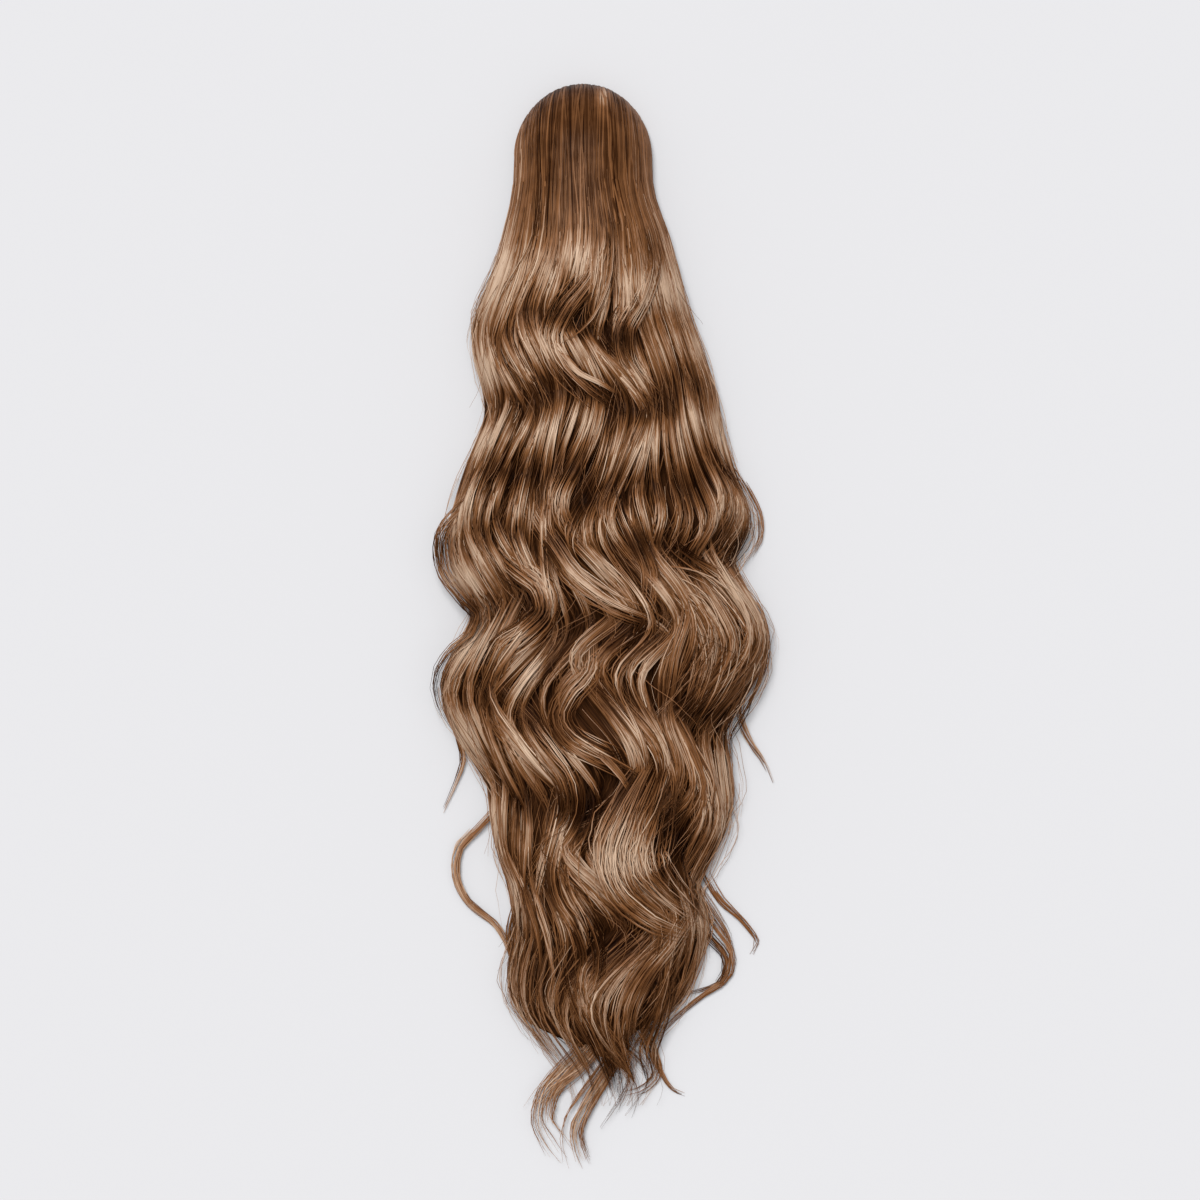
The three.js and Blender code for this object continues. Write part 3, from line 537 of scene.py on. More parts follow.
class Pile:
    """Tubes and shells that become one mesh."""

    def __init__(self):
        self.points, self.faces, self.normals = [], [], []
        self.tones, self.grains = [], []
        self.count = 0

    def tubes(self, paths, radius, tone, lean):
        """Three-sided tubes: paths is (tubes, steps, 3), the rest (tubes, steps). The flat side faces
        up, or to the side by the angle lean."""
        ahead = np.gradient(paths, axis=1)
        ahead /= np.linalg.norm(ahead, axis=2, keepdims=True) + 1e-9
        side = np.cross([0.0, 0.0, 1.0], ahead)
        long = np.linalg.norm(side, axis=2, keepdims=True)
        side = np.where(long > 0.05, side / np.maximum(long, 1e-6), [[[1.0, 0.0, 0.0]]])
        up = np.cross(ahead, side)
        lean = np.broadcast_to(lean, radius.shape)[..., None]
        facing = np.cos(lean) * up + np.sin(lean) * side
        sideways = np.cos(lean) * side - np.sin(lean) * up
        rings, normals = [], []
        for k in range(3):
            angle = math.pi / 6 + 2 * math.pi * k / 3
            around = math.cos(angle) * sideways + math.sin(angle) * facing
            rings.append(paths + radius[..., None] * around)
            normals.append(facing + ROUNDNESS * around)
        self.normals.append(np.stack(normals, 2).reshape(-1, 3))
        self.add(np.stack(rings, 2), tone)

    def add(self, rings, tone, grain=None):
        """Closed bodies: rings is (bodies, steps, sides, 3), in millimetres."""
        tubes, steps, sides = rings.shape[:3]
        rings = rings.copy()
        rings[..., 2] = np.maximum(rings[..., 2], TABLE_GAP)
        base = self.count + np.arange(tubes * steps * sides).reshape(tubes, steps, sides)
        after = np.roll(base, -1, axis=2)
        walls = np.stack([base[:, :-1], after[:, :-1], after[:, 1:], base[:, 1:]], -1)
        self.faces.append(walls.reshape(-1, 4))
        half = sides // 2
        for end, order in ((0, 1), (-1, -1)):
            ring = base[:, end, :]
            if sides == 3:
                self.faces.append(ring[:, ::-order])
                continue
            for k in range(half - 1):
                quad = np.stack([ring[:, k], ring[:, k + 1], ring[:, -k - 2], ring[:, -k - 1]], -1)
                self.faces.append(quad[:, ::-order])
        self.points.append(rings.reshape(-1, 3))
        self.tones.append(np.broadcast_to(tone[..., None], (tubes, steps, sides)).reshape(-1))
        if grain is None:
            grain = np.zeros((tubes, steps, sides, 3))
        self.grains.append(grain.reshape(-1, 3))
        self.count += tubes * steps * sides

    def make(self, name, material):
        """One mesh from all that was added, riding the root body."""
        points = np.concatenate(self.points) * 0.001
        loops = np.concatenate([f.reshape(-1) for f in self.faces])
        sizes = np.concatenate([np.full(len(f), f.shape[1]) for f in self.faces])
        mesh = bpy.data.meshes.new(name)
        mesh.vertices.add(len(points))
        mesh.vertices.foreach_set("co", points.astype(np.float32).reshape(-1))
        mesh.loops.add(len(loops))
        mesh.loops.foreach_set("vertex_index", loops.astype(np.int32))
        mesh.polygons.add(len(sizes))
        starts = np.concatenate([[0], np.cumsum(sizes)[:-1]])
        mesh.polygons.foreach_set("loop_start", starts.astype(np.int32))
        mesh.polygons.foreach_set("loop_total", sizes.astype(np.int32))
        mesh.polygons.foreach_set("use_smooth", np.ones(len(sizes), bool))
        mesh.update(calc_edges=True)
        tone = mesh.attributes.new("tone", "FLOAT", "POINT")
        tone.data.foreach_set("value", np.concatenate(self.tones).astype(np.float32))
        grain = mesh.attributes.new("grain", "FLOAT_VECTOR", "POINT")
        grain.data.foreach_set("vector", np.concatenate(self.grains).astype(np.float32).reshape(-1))
        mesh.materials.append(material)
        if self.normals:
            normals = np.concatenate(self.normals)
            normals /= np.linalg.norm(normals, axis=1, keepdims=True)
            mesh.normals_split_custom_set_from_vertices(normals.tolist())
        obj = bpy.data.objects.new(name, mesh)
        bpy.context.scene.collection.objects.link(obj)
        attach(obj, "root")
        return obj


def clumped(count, steps, length, scale, loose):
    """Places across a lock from -1 to 1: strands gather in clumps, and a few of them leave."""
    centre = np.sort(rng.uniform(-1, 1, CLUMPS))
    mine = rng.integers(0, CLUMPS, count)
    base = np.clip(centre[mine] + rng.normal(0, 0.3, count), -1.1, 1.1)[:, None]
    shared = wobble(CLUMPS, steps, length, scale)[mine]
    own = wobble(count, steps, length, scale)
    stray = np.where(rng.random((count, 1)) < 0.12, 3.0, 1.0)
    return base, base + loose * (0.5 * shared + 0.45 * own * stray), mine


def strand_radius(count, steps, thin_from):
    """The radius down each strand, which thins from a share of its length to its tip."""
    local = np.linspace(0, 1, steps)[None, :]
    radius = 0.5 * STRAND_WIDTH * rng.uniform(0.45, 1.3, (count, 1))
    return radius * (1 - 0.78 * smooth((local - thin_from) / (1 - thin_from)))


class LongLock:
    """A lock that runs down the hair in its lane, with the waves of its side of the hair."""

    def __init__(self, home, angle, level, top, end, stray, half_angle, deep, tone):
        self.home, self.angle, self.level = home, angle, level
        self.deep, self.tone = deep, tone
        self.own_tone = rng.normal(0, LOCK_TONE)
        self.raised = rng.normal(0, 0.025)
        self.top = top
        lane = math.sin(angle)
        self.s = s = np.linspace(top, end, LONG_STEPS)
        free, rise = grown("lock_free", s), grown("waves", s)
        wander = lambda scale: wobble(1, LONG_STEPS, LOCK_RUN, scale)[0]
        # The outermost locks keep to the hair's edge
        calm = 1 - 0.85 * abs(lane) ** 8
        strength = 1 + rng.normal(0, 0.08) + drift("strength", lane, s)
        strength = strength + wander(300.0) * 0.12 * free
        strength = 1 + (strength - 1) * calm
        shift = (rng.normal(0, 0.005) + drift("shift", lane, s)) * rise
        shift = (shift + wander(360.0) * 0.004 * free) * calm
        self.shine = rng.uniform(0.6, 1.25)
        self.stray = np.radians(stray * wander(300.0) + drift("stray", lane, s)) * free
        self.sway = smoothed(swing_at(lane, s + shift), 31) * strength * rise
        # band is the waves' lift: it raises and lowers the strands and also sets where their painted
        # highlight and painted shade fall
        self.band = smoothed(lane_wave(lane, s + shift, "lift"), 13) * rise
        self.lift = self.band * WAVE_LIFT * (0.45 + 0.55 * math.cos(angle))
        self.lift = self.lift + wander(160.0) * 1.6 * free
        pinch = 1 + (0.1 + 0.3 * free) * wander(170.0)
        tip = 1 - TIP_THINNING * smooth((s - end + TIP_REACH) / TIP_REACH)
        self.half = half_angle * pinch * (1 - 0.25 * free) * tip
        flat = np.zeros((1, LONG_STEPS))
        middle = self.line(flat, flat, s[None, :])[0]
        run = np.sqrt((np.diff(middle, axis=0) ** 2).sum(1))
        ahead = np.diff(middle, axis=0) / (run[:, None] + 1e-9)
        bend = np.linalg.norm(np.diff(ahead, axis=0), axis=1) / (run[1:] + 1e-9)
        bend = smoothed(np.pad(bend, (1, 0), "edge"), 15)
        density = 0.3 + np.sqrt(np.clip(bend, 0, 0.15) / 0.035)
        steps_grown = np.concatenate([[0], np.cumsum(density * run)])
        self.cost = steps_grown[-1]
        self.steps_grown = steps_grown / self.cost

    def places(self, count):
        """Places down the lock, closer together where it bends."""
        return np.interp(np.linspace(0, 1, count), self.steps_grown, self.s)

    def line(self, offset, depth, s, own_shift=0.0):
        """Points of strands at places s, offset in radians round the arch, depth in millimetres."""
        look = lambda values: np.interp(s + own_shift, self.s, values)
        theta = np.clip(self.angle + look(self.stray) + offset, -MOST_ANGLE, MOST_ANGLE)
        x, y, z = arch_at(np.sin(theta), s)
        height = self.level + self.raised * grown("lock_height", s)
        straight_down = grown("straight_down", s)
        x = x - depth * np.sin(theta) * (1 - straight_down)
        depth = depth * (np.cos(theta) * (1 - straight_down) + straight_down)
        return np.stack([x + look(self.sway), y, z * height + look(self.lift) - depth], -1)


def over_the_crown(theta, turn, depth):
    """The part of the crown from the cap's rim, at a turn of a right angle, up and back."""
    shrink = 1 - depth / CROWN_TOP
    theta = theta * (1 - CROWN_FAN + CROWN_FAN * np.cos(turn) ** 0.8)
    x = CROWN_SIDE * np.sin(theta) * shrink
    y = CAP_MIDDLE + CROWN_REACH * np.cos(theta) * np.sin(turn) * shrink
    z = CROWN_TOP * np.cos(theta) * np.cos(turn) * shrink
    return np.stack(np.broadcast_arrays(x, y, z), -1)


def add_long_strands(pile, lock, count, from_rim, lane_gap):
    """The strands of a long lock. The over layer's start at the cap's front rim."""
    steps = max(int(lock.cost / (STRAND_STEP if from_rim else UNDER_STEP)), 10)
    wander = lambda scale: wobble(count, steps, STRAND_RUN, scale)
    ends = 1 - 0.13 * rng.random((count, 1))
    s = lock.top + (lock.places(steps)[None, :] - lock.top) * ends
    free = grown("strand_free", s)
    base, across, mine = clumped(count, steps, STRAND_RUN, 230.0, 0.16 + 0.42 * free)
    bold = rng.random((count, 1)) < BOLD_SHARE
    # On the crown every strand has a place of its own, further down they gather in locks
    own_place = lock.home - lock.angle + rng.uniform(-1, 1, (count, 1)) * lane_gap * CROWN_OVERLAP
    own_place = own_place + CROWN_JITTER * (1 + 0.6 * bold) * wander(120.0)
    tight = 1 - grown("gathered", s)
    offset = own_place * tight + across * np.interp(s, lock.s, lock.half) * (1 - tight)
    layer = np.where(bold, 0.0, rng.random((count, 1)) ** 1.4)
    bulge = (1 - np.clip(base, -1, 1) ** 2) * free
    depth = lock.deep * (layer * (0.4 + 0.6 * free) - 0.7 * bulge) + 0.4
    depth = depth + wander(180.0) * 0.6 * free
    own_shift = rng.normal(0, 0.003, (count, 1)) * free
    paths = lock.line(offset, depth, s, own_shift)
    band = np.interp(s + own_shift, lock.s, lock.band)
    hollow = hollow_at(paths)
    paths[..., 2] -= HOLLOW_DEPTH * hollow * np.clip(paths[..., 2] / HAIR_HEIGHT, 0, 1)
    theta = np.clip(lock.angle + offset, -MOST_ANGLE, MOST_ANGLE)
    if from_rim:
        turn = np.linspace(math.pi / 2, 0, FRONT_STEPS, endpoint=False)[None, :]
        leaning = rng.normal(0, CROWN_LEAN, (count, 1)) * turn
        at_rim = np.clip(theta[:, :1] + leaning, -MOST_ANGLE, MOST_ANGLE)
        front = over_the_crown(at_rim, turn, depth[:, :1])
        none = np.zeros((count, FRONT_STEPS))
        paths = np.concatenate([front, paths], 1)
        s, band, hollow = (np.concatenate([none, values], 1) for values in (s, band, hollow))
        theta = np.concatenate([np.repeat(theta[:, :1], FRONT_STEPS, axis=1), theta], 1)
    total = paths.shape[1]
    upper = grown("upper", s)
    upper_third = grown("upper_third", s)
    radius = strand_radius(count, total, 0.88) * (1 + 0.6 * bold * (1 - upper_third))
    paths[..., 2] = np.maximum(paths[..., 2], radius * 0.9)
    flat = 1 - 0.5 * upper_third
    lean = np.arctan2(flat * np.sin(theta), np.cos(theta))
    lean = np.clip(lean + LOCK_ROUNDNESS * base * grown("lock_height", s), -MOST_LEAN, MOST_LEAN)
    clump_tone = rng.normal(0, CLUMP_TONE, CLUMPS)[mine][:, None]
    tone = lock.tone + (lock.own_tone + clump_tone) * grown("lock_tone", s)
    contrast = 0.65 + 0.35 * grown("contrast", s)
    tone = tone + rng.normal(0, STRAND_TONE, (count, 1)) * (1 + 1.3 * bold) * contrast
    # Painted light: strands at the hair's sides are painted lighter, more so near the crown
    tone = tone + SIDE_LIGHT * np.abs(np.sin(theta)) ** 3 * (1 + 1.2 * (1 - upper))
    # Painted highlight on the crest of each wave and painted shade in its trough, as strong as the
    # lock's shine
    tone = tone + WAVE_LIGHT_AND_SHADE * lock.shine * band * rng.uniform(0.7, 1.3, (count, 1))
    outermost = np.abs(np.sin(theta)) ** 12
    # Painted shade: strands deeper in a lock are painted darker, less so in the outermost lanes
    tone = tone - DEPTH_SHADE * layer * (1 - 0.7 * outermost) * contrast
    # Painted shade: strands at the edges of a lock are painted darker, so the lock looks rounded
    tone = tone - LOCK_EDGE_SHADE * np.clip(np.abs(base), 0, 1) ** 2 * upper * (1 - outermost)
    # A painted highlight: a pale spot painted onto the crown
    glint_x = (paths[..., 0] - GLINT[0]) / GLINT_SIZE[0]
    glint_y = (paths[..., 1] - GLINT[1]) / GLINT_SIZE[1]
    glint = np.exp(-(glint_x**2) - glint_y**2)
    # The crown is painted darker, partly as darker roots and partly as painted shade over its top
    tone = tone - 0.02 - CROWN_SHADE * (1 - grown("crown_shade", s)) + GLINT_TONE * glint
    # Painted shade: strands in the hollows between locks are painted darker
    tone = tone + 0.06 * wobble(count, total, STRAND_RUN, 160.0) - HOLLOW_SHADE * hollow
    tone = tone + drift("shade", math.sin(lock.angle), s) * upper
    pile.tubes(paths, radius, np.clip(tone, 0, 1), lean)


def sheet_lanes(angles, places):
    """The lanes of a sheet of dense hair, a little inside the strands' edges."""
    for angle in angles:
        cut = LEFT_CUT if angle < 0 else RIGHT_CUT
        yield angle, math.sin(angle) * widest_lane(places, cut)


def sheet_grain(rings, count, start, down):
    """Where each point of a sheet lies round it and down it, for the fine lines of its material."""
    grain = np.zeros(rings.shape)
    around = np.concatenate([np.linspace(0, 130, count), np.linspace(130, 0, count)])
    grain[..., 0] = around[None, None, :] + start
    grain[..., 2] = down[None, :, None]
    return grain


def add_over_sheet(pile, tone):
    """The dense hair under the top strands: a thin shell from the crown to near the tips."""
    end = OVER_SHEET_END
    turn = np.linspace(math.pi / 2, 0, 8, endpoint=False)[None, :]
    s = np.linspace(CROWN_END, end, 110)[None, :]
    angles = np.radians(np.linspace(-88, 88, 33))
    rise = grown("waves", s)
    narrow = 1 - 0.97 * smooth((s - end + 0.06) / 0.06)
    middle = arch_at(0.0, s)[0] + swing_at(0.0, s) * rise
    outer, inner = [], []
    for angle, share in sheet_lanes(angles, s):
        lane = share * 0.96
        x, y, z = arch_at(lane, s)
        sink = 3.8 + 4.0 * rise * grown("deep_sheet", s) + 4.0 * smooth((s - end + 0.14) / 0.14)
        points = np.stack([x + swing_at(lane, s) * rise, y, z], -1)
        sink = sink + 4.0 * hollow_at(points)
        x = middle + (x + swing_at(lane, s) * rise - middle) * narrow
        z = z + lane_wave(lane, s, "lift") * WAVE_LIFT * rise * 0.8
        back = np.stack([x, y, z - sink], -1)
        under = np.stack([middle + (x - middle) * 0.985, y, z - sink - 1.0], -1)
        side = np.full((1, 1), angle)
        outer.append(np.concatenate([over_the_crown(side, turn, 3.6), back], 1))
        inner.append(np.concatenate([over_the_crown(side, turn, 4.6), under], 1))
    rings = np.stack(outer + inner[::-1], 2)
    steps = rings.shape[1]
    grain = sheet_grain(rings, len(angles), 200, np.linspace(0, LENGTH, steps))
    pile.add(rings, np.full((1, steps), tone), grain)


def add_under_sheet(pile, level, tone):
    """The dense hair next to the table, behind the cap."""
    end = UNDER_SHEET_END
    s = np.linspace(CAP_BACK, end, 90)[None, :]
    angles = np.radians(np.linspace(-88, 88, 27))
    narrow = 1 - 0.97 * smooth((s - end + 0.06) / 0.06)
    middle = arch_at(0.0, s)[0] + swing_at(0.0, s)
    top = []
    for _, share in sheet_lanes(angles, s):
        lane = share * 0.94
        x, y, z = arch_at(lane, s)
        x = middle + (x + swing_at(lane, s) - middle) * narrow
        z = z * level + lane_wave(lane, s, "lift") * WAVE_LIFT * 0.5
        top.append(np.stack([x, y, np.maximum(z, 1.0)], -1))
    bottom = [side * [1.0, 1.0, 0.0] for side in top]
    rings = np.stack(top + bottom[::-1], 2)
    grain = sheet_grain(rings, len(angles), 0, s[0] * LENGTH)
    pile.add(rings, np.full((1, rings.shape[1]), tone), grain)


def add_flyaways(pile, count):
    """Single fine hairs that leave the rest along the edges and on top."""
    start = rng.uniform(0.08, 0.86, (count, 1))
    span = rng.uniform(0.06, 0.2, (count, 1))
    edge = rng.random((count, 1)) < 0.3
    sign = np.where(rng.random((count, 1)) < 0.5, -1.0, 1.0)
    theta = np.where(edge, sign * rng.uniform(1.05, 1.5, (count, 1)), rng.uniform(-1.1, 1.1, (count, 1)))
    t = np.linspace(0, 1, STRAY_STEPS)[None, :]
    s = np.minimum(start, 0.94 - span) + span * t
    lane = np.sin(theta) + 0 * s
    x, y, z = arch_at(lane, s)
    shift = rng.normal(0, 0.012, (count, 1))
    x = x + swing_at(lane, s + shift) * grown("stray_waves", s) * rng.uniform(0.7, 1.3, (count, 1))
    away = rng.uniform(0.5, 6.0, (count, 1)) * np.where(edge, 1.0, 0.5)
    away = away * (0.35 + 0.65 * grown("stray_away", s))
    leave = smooth(t / 0.6)
    x = x + np.where(edge, sign, 0.4 * sign) * away * leave * grown("upper", s)
    tilt = np.where(edge, 0.0, rng.normal(0, 13.0, (count, 1)))
    x = x + tilt * (t - 0.3) * grown("stray_tilt", s)
    wander = wobble(count, STRAY_STEPS, STRAY_RUN, 90.0)
    x = x + wander * leave * (1.0 + 1.4 * grown("stray_away", s))
    z = z + rng.uniform(0.2, 1.8, (count, 1)) * leave + wobble(count, STRAY_STEPS, STRAY_RUN, 90.0)
    paths = np.stack([x, y, np.maximum(z, 0.3)], -1)
    radius = 0.5 * rng.uniform(0.24, 0.4, (count, 1)) * (1 - 0.6 * smooth((t - 0.6) / 0.4))
    # Painted light: the strays at the edges are painted lighter than those on top
    tone = np.clip(np.where(edge, 0.68, 0.45) + rng.normal(0, 0.12, (count, 1)) + 0 * t, 0, 1)
    pile.tubes(paths, radius, tone, 0.0)


def add_short_strands(
    pile, line, half_width, half_depth, tilt, count, tone, ragged, loose, end_shade, shaded=1.0
):
    """Strands along a free line, gathered in clumps, that start and end at their own places."""
    ahead = np.gradient(line, axis=0)
    ahead /= np.linalg.norm(ahead, axis=1, keepdims=True) + 1e-9
    side = np.cross([0.0, 0.0, 1.0], ahead)
    side /= np.linalg.norm(side, axis=1, keepdims=True) + 1e-9
    up = np.cross(ahead, side)
    run = np.sqrt((np.diff(line, axis=0) ** 2).sum(1))
    bend = np.linalg.norm(np.gradient(ahead, axis=0), axis=1)[1:] / (run + 1e-9)
    density = 0.35 + np.sqrt(np.clip(smoothed(bend, 13), 0, 0.12) / 0.04)
    steps_grown = np.concatenate([[0], np.cumsum(density * run)])
    length = run.sum()
    steps = max(int(steps_grown[-1] / STRAND_STEP), 8)
    grid = np.linspace(0, 1, len(line))
    local = np.linspace(0, 1, steps)[None, :]
    even_share = np.interp(local[0], steps_grown / steps_grown[-1], grid)[None, :]
    starts = ragged * 0.8 * rng.random((count, 1)) ** 1.3
    ends = 1 - ragged * rng.random((count, 1)) ** 1.3
    share = starts + even_share * (ends - starts)
    look = lambda values: np.interp(share, grid, values)
    vector = lambda values: np.stack([look(values[:, k]) for k in range(3)], -1)
    base, across, mine = clumped(count, steps, length, 200.0, loose)
    layer = rng.random((count, 1)) ** 1.2
    arch = np.sqrt(np.clip(1 - 0.8 * np.clip(base, -1, 1) ** 2, 0, 1))
    out = arch * (1 - 1.1 * layer) + loose * 0.5 * wobble(count, steps, length, 160.0)
    across = across + rng.normal(0, 0.22, (count, 1)) * (share - 0.5)
    paths = vector(line) + vector(side) * (across * look(half_width))[..., None]
    paths = paths + vector(up) * (out * look(half_depth))[..., None]
    radius = strand_radius(count, steps, 0.75) * (0.3 + 0.7 * smooth(local / 0.08))
    paths[..., 2] = np.maximum(paths[..., 2], radius + 0.1)
    tones = look(tone) * rng.uniform(0.85, 1.15, (count, 1))
    tones = tones + rng.normal(0, CLUMP_TONE, CLUMPS)[mine][:, None]
    bold = np.where(rng.random((count, 1)) < BOLD_SHARE, 1.8, 1.0)
    # Painted shade: deeper strands are painted darker, by the share shaded
    tones = tones + rng.normal(0, STRAND_TONE, (count, 1)) * bold - DEPTH_SHADE * shaded * layer
    # Painted shade at the edges of the lock
    tones = tones - LOCK_EDGE_SHADE * np.clip(np.abs(base), 0, 1) ** 2
    # Painted shade: the strands are painted darker at their ends, where the lock dips under the other
    # hair
    end_shade_mask = 1 - smooth(local / 0.25) + smooth((local - 0.7) / 0.3)
    lean = np.clip(look(tilt * side[:, 0]) + LOCK_ROUNDNESS * base, -MOST_LEAN, MOST_LEAN)
    # Painted shade in the hollows between locks
    tones = tones - 0.8 * HOLLOW_SHADE * hollow_at(paths)
    pile.tubes(paths, radius, np.clip(tones - end_shade * end_shade_mask, 0, 1), lean)


def lane_of(x, along):
    """The lane over a place across the hair."""
    left, right = section("left", along), section("right", along)
    return np.clip((2 * x - left - right) / (right - left), -0.93, 0.93)


def add_crossing_lock(pile, half_width, half_depth, strands, loose, ends, own_tone, wave_light_share, rows):
    """A lock that lies over the others."""
    rows = np.array(rows, float)
    x, along, level = rows[:, 0] * HALF_WIDTH, rows[:, 1], rows[:, 2]
    _, y, z = arch_at(lane_of(x, along), along)
    line = through(np.column_stack([x, y, z * level]), PATH_STEPS)
    t = np.linspace(0, 1, PATH_STEPS)
    taper = ends + (1 - ends) * np.sin(math.pi * t) ** 0.8
    share = (FRONT - line[:, 1]) / LENGTH
    lane = lane_of(line[:, 0], share)
    tilt = np.arctan2(0.5 * lane, np.sqrt(1 - lane**2))
    # Where the painted highlight of the wave crests and the painted shade of the troughs fall on this
    # lock
    band = lane_wave(lane, share + drift("shift", lane, share), "lift")
    # The lock's raised middle is painted lighter, a painted highlight
    middle = smooth(t / 0.25) * (1 - smooth((t - 0.7) / 0.3))
    tone = own_tone + rng.normal(0, 0.04) + WAVE_LIGHT_AND_SHADE * band * wave_light_share + 0.13 * middle
    thick = half_depth * (0.5 + 0.5 * middle)
    add_short_strands(pile, line, half_width * taper, thick, tilt, strands, tone, 0.46, loose, 0.26)


def add_loose_lock(pile, half_width, strands, flare, own_tone, rows):
    """A lock that lies on the table by itself."""
    rows = np.array(rows, float)
    x, y = rows[:, 0] * HALF_WIDTH, FRONT - rows[:, 1] * LENGTH
    line = through(np.column_stack([x, y, 0 * x]), PATH_STEPS)
    t = np.linspace(0, 1, PATH_STEPS)
    taper = 1 + flare * smooth((t - 0.1) / 0.9)
    rest = half_width * 0.5 * taper
    line[:, 2] = rest + 4.0 * (1 - smooth(t / 0.3)) + 1.6 * np.sin(math.pi * t)
    tone = own_tone + 0.14 * smooth(t / 0.4) + rng.normal(0, 0.03)
    wide = half_width * taper
    add_short_strands(pile, line, wide, wide * 0.5, 0 * t, strands, tone, 0.55, 0.36, 0.0, 0.3)


def node(tree, kind, **values):
    """A shader node with its settings and the values of its inputs."""
    n = tree.nodes.new(kind)
    for key, value in values.items():
        if key in n.inputs:
            n.inputs[key].default_value = value
        else:
            setattr(n, key, value)
    return n


def new_material(name):
    material = bpy.data.materials.new(name)
    material.use_nodes = True
    tree = material.node_tree
    shader = tree.nodes["Principled BSDF"]
    return material, tree, shader


def by_place(tree, kind, **values):
    """A texture laid out by the place on the object, in metres."""
    texture = node(tree, kind, **values)
    place = node(tree, "ShaderNodeTexCoord")
    tree.links.new(place.outputs["Object"], texture.inputs["Vector"])
    return texture


def colour_by(tree, shader, stops, source):
    """Colours the surface by a value, from dark to light."""
    n = tree.nodes.new("ShaderNodeValToRGB")
    elements = n.color_ramp.elements
    while len(elements) < len(stops):
        elements.new(0.5)
    for element, (place, colour) in zip(elements, stops):
        element.position = place
        element.color = (*colour, 1)
    tree.links.new(source, n.inputs["Fac"])
    tree.links.new(n.outputs["Color"], shader.inputs["Base Color"])


def raise_by(tree, shader, source, **values):
    """Raises the surface a little by a value."""
    bump = node(tree, "ShaderNodeBump", **values)
    tree.links.new(source, bump.inputs["Height"])
    tree.links.new(bump.outputs["Normal"], shader.inputs["Normal"])


# The colour of the hair at a tone, and how strongly it shines from a dark tone to a light one
HAIR_COLOURS = [
    (0.0, (0.014, 0.004, 0.001)),
    (0.3, (0.072, 0.026, 0.008)),
    (0.6, (0.240, 0.098, 0.034)),
    (1.0, (0.610, 0.430, 0.300)),
]
SHINE = {"From Min": 0.2, "From Max": 0.75, "To Min": 0.05, "To Max": 0.5}
SHEET_STRETCH = (2.2, 2.2, 0.016)


def hair_material(name, with_grain):
    """Hair by its tone. The sheets of dense hair also have fine lines along them."""
    material, tree, shader = new_material(name)
    link = tree.links.new
    tone = node(tree, "ShaderNodeAttribute", attribute_name="tone")
    if with_grain:
        grain = node(tree, "ShaderNodeAttribute", attribute_name="grain")
        stretch = node(tree, "ShaderNodeMapping", Scale=SHEET_STRETCH)
        link(grain.outputs["Vector"], stretch.inputs["Vector"])
        lines = node(tree, "ShaderNodeTexNoise", Scale=1.0, Detail=3.0, Roughness=0.65)
        link(stretch.outputs["Vector"], lines.inputs["Vector"])
        gain = 0.9
        raise_by(tree, shader, lines.outputs["Fac"], Strength=0.55, Distance=0.0006)
    else:
        lines = by_place(tree, "ShaderNodeTexNoise", Scale=70.0, Detail=2.0, Roughness=0.6)
        gain = 0.3
    centre = node(tree, "ShaderNodeMath", operation="SUBTRACT")
    centre.inputs[1].default_value = 0.5
    link(lines.outputs["Fac"], centre.inputs[0])
    mix = node(tree, "ShaderNodeMath", operation="MULTIPLY_ADD")
    link(centre.outputs[0], mix.inputs[0])
    mix.inputs[1].default_value = gain
    link(tone.outputs["Fac"], mix.inputs[2])
    colour_by(tree, shader, HAIR_COLOURS, mix.outputs[0])
    shader.inputs["Roughness"].default_value = 0.75 if with_grain else 0.36
    shader.inputs["IOR"].default_value = 1.33
    if with_grain:
        shader.inputs["Specular IOR Level"].default_value = 0.1
    else:
        gleam = node(tree, "ShaderNodeMapRange", **SHINE)
        link(mix.outputs[0], gleam.inputs["Value"])
        link(gleam.outputs["Result"], shader.inputs["Specular IOR Level"])
    shader.inputs["Specular Tint"].default_value = (1.0, 0.86, 0.74, 1)
    return material


NET_COLOURS = [(0.0, (0.055, 0.036, 0.026)), (0.12, (0.03, 0.019, 0.013)), (0.3, (0.008, 0.005, 0.004))]
COMB_COLOURS = [(0.35, (0.022, 0.011, 0.006)), (0.7, (0.075, 0.035, 0.016))]


def cap_material():
    """Dark net cloth: threads that meet in small cells."""
    material, tree, shader = new_material("cap_net_cloth")
    cells = by_place(tree, "ShaderNodeTexVoronoi", feature="DISTANCE_TO_EDGE", Scale=620.0)
    colour_by(tree, shader, NET_COLOURS, cells.outputs["Distance"])
    raise_by(tree, shader, cells.outputs["Distance"], Strength=0.6, Distance=0.0005, invert=True)
    shader.inputs["Roughness"].default_value = 0.85
    return material


def comb_material():
    """Brown plastic with soft clouds of a lighter brown."""
    material, tree, shader = new_material("comb_brown_plastic")
    cloud = by_place(tree, "ShaderNodeTexNoise", Scale=55.0, Detail=4.0, Distortion=1.2)
    colour_by(tree, shader, COMB_COLOURS, cloud.outputs["Fac"])
    shader.inputs["Roughness"].default_value = 0.28
    return material


strand_material = hair_material("hair_strands", False)
inner_material = hair_material("hair_inner", True)

# The piles that become pieces, one for each side of each layer so that no piece grows too large
SIDES = [(-0.62, "left"), (0.0, "middle_left"), (0.62, "middle_right"), (1.1, "right")]
LAYER_STARTS = {"over": CROWN_END, "mid": MID_START, "low": CAP_BACK}
STRAY_HAIRS = 560
piles = {}


def pile_of(name):
    return piles.setdefault(name, Pile())


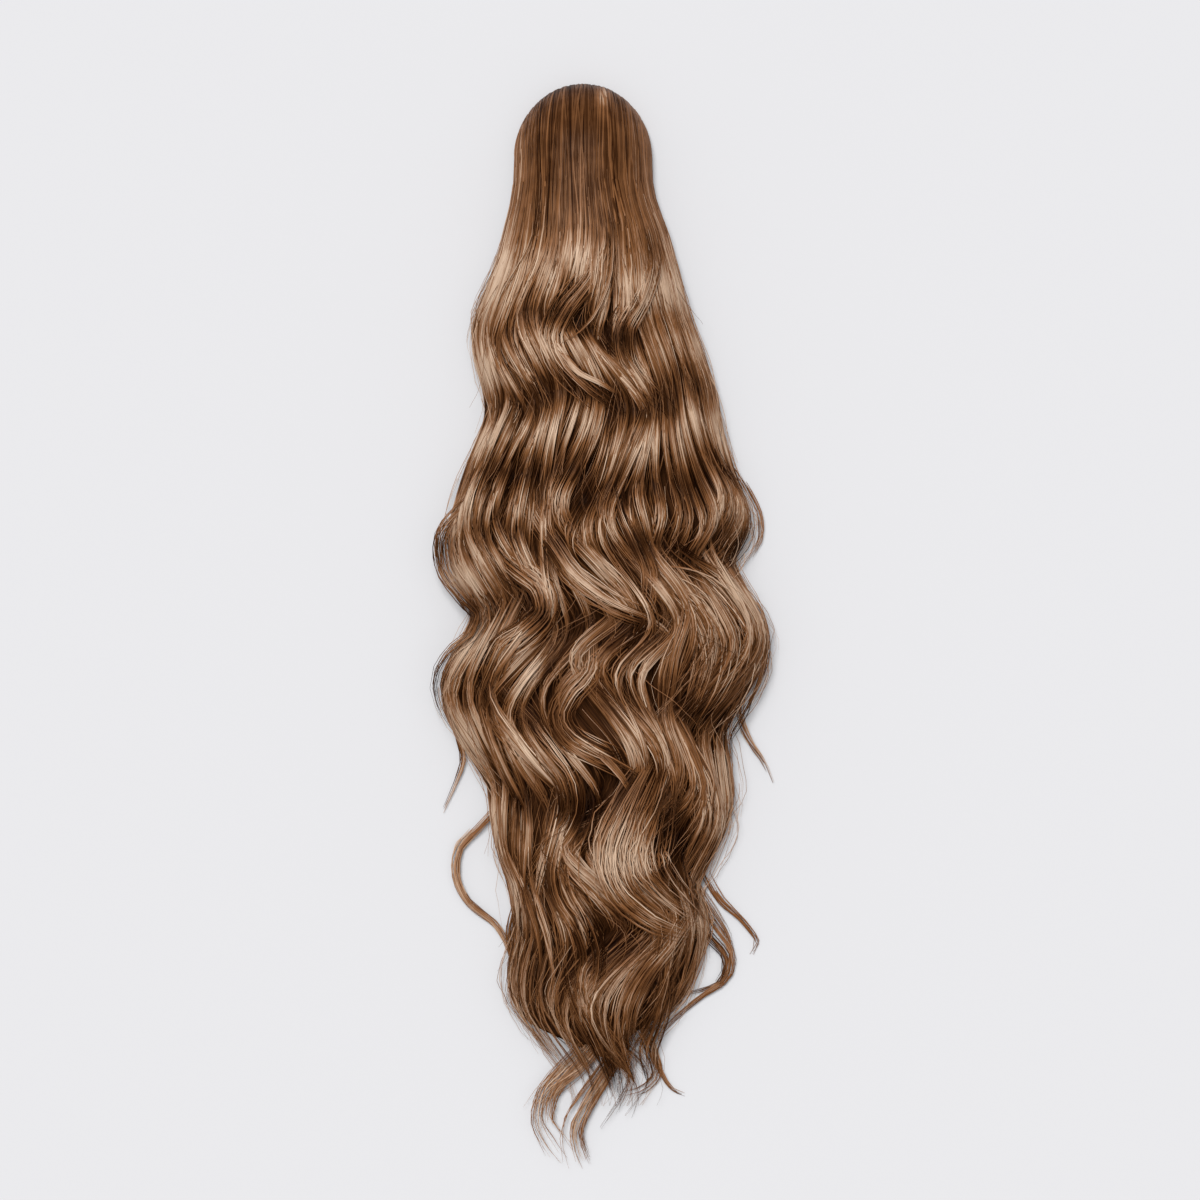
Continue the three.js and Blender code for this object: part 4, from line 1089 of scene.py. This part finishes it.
for layer, level, reach, locks, strands, stray, spread, deep, tone in LAYERS:
    angles = np.radians(np.linspace(-reach, reach, locks))
    gap = angles[1] - angles[0]
    for home in angles:
        angle = float(np.clip(home + rng.normal(0, 0.25 * gap), -1.47, 1.47))
        lane = math.sin(angle)
        end = last_place(lane) - 0.06 * rng.random() ** 1.5 - (0.0 if layer == "over" else 0.04)
        size = rng.uniform(0.6, 1.5)
        half_angle = gap * 0.5 * spread * size
        top = LAYER_STARTS[layer]
        lock = LongLock(float(home), angle, level, top, end, stray, half_angle, deep, tone)
        if layer == "over":
            where = "over_hair_" + next(name for limit, name in SIDES if lane < limit)
        else:
            where = "under_hair_" + ("left" if lane < 0 else "right")
        add_long_strands(pile_of(where), lock, int(strands * size ** 0.6), layer == "over", gap)

# The sheets of dense hair get a very dark tone: painted shade for the depths under the strands
add_over_sheet(pile_of("over_hair_inner"), 0.12)
add_under_sheet(pile_of("under_hair_inner"), 0.42, 0.1)
for lock in CROSSING_LOCKS.values():
    add_crossing_lock(pile_of("crossing_locks"), *lock)
for lock in LOOSE_LOCKS.values():
    add_loose_lock(pile_of("loose_locks"), *lock)
add_flyaways(pile_of("stray_hairs"), STRAY_HAIRS)

for name, pile in piles.items():
    material = inner_material if name.endswith("_inner") else strand_material
    pile.make(name, material)

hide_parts("over_hair")
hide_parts("under_hair")

for name, material in (("base_cap", cap_material()), ("comb", comb_material())):
    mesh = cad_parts[name].data
    mesh.materials.clear()
    mesh.materials.append(material)

# The table, in metres
FLOOR_REACH = 6.0
floor_mesh = bpy.data.meshes.new("table_top")
corners = [(-1, -1), (1, -1), (1, 1), (-1, 1)]
floor_mesh.from_pydata([(FLOOR_REACH * x, FLOOR_REACH * y, 0) for x, y in corners], [], [(0, 1, 2, 3)])
floor = bpy.data.objects.new("table_top", floor_mesh)
bpy.context.scene.collection.objects.link(floor)
floor_material, _, floor_shader = new_material("pale_table")
floor_shader.inputs["Base Color"].default_value = (0.672, 0.67, 0.683, 1)
floor_shader.inputs["Roughness"].default_value = 0.9
floor_shader.inputs["Specular IOR Level"].default_value = 0.1
floor_mesh.materials.append(floor_material)

# Soft light from above
world = bpy.data.worlds.new("studio")
world.use_nodes = True
world.node_tree.nodes["Background"].inputs["Color"].default_value = (0.985, 0.985, 1.0, 1)
world.node_tree.nodes["Background"].inputs["Strength"].default_value = 0.42
bpy.context.scene.world = world


def sun(name, strength, angle, towards):
    """A far light that shines in a direction, with its angle in degrees."""
    light = bpy.data.lights.new(name, "SUN")
    light.energy = strength
    light.angle = math.radians(angle)
    obj = bpy.data.objects.new(name, light)
    obj.rotation_euler = Vector(towards).to_track_quat("-Z", "Y").to_euler()
    bpy.context.scene.collection.objects.link(obj)


sun("key_light", 2.75, 30.0, (0.16, -0.34, -1.0))

# The camera looks straight down, with the crown at the top of the picture. Its sensor is in
# millimetres, the rest in metres.
FRAME_SIZE = 0.7293
CAMERA_HEIGHT = 2.6
SENSOR_WIDTH = 36.0
camera_data = bpy.data.cameras.new("camera")
camera_data.sensor_width = SENSOR_WIDTH
camera_data.lens = SENSOR_WIDTH * CAMERA_HEIGHT / FRAME_SIZE
camera = bpy.data.objects.new("camera", camera_data)
camera.location = (0.0103, -0.3066, CAMERA_HEIGHT)
bpy.context.scene.collection.objects.link(camera)
bpy.context.scene.camera = camera
bpy.context.scene.view_settings.view_transform = "Standard"

bpy.context.view_layer.update()
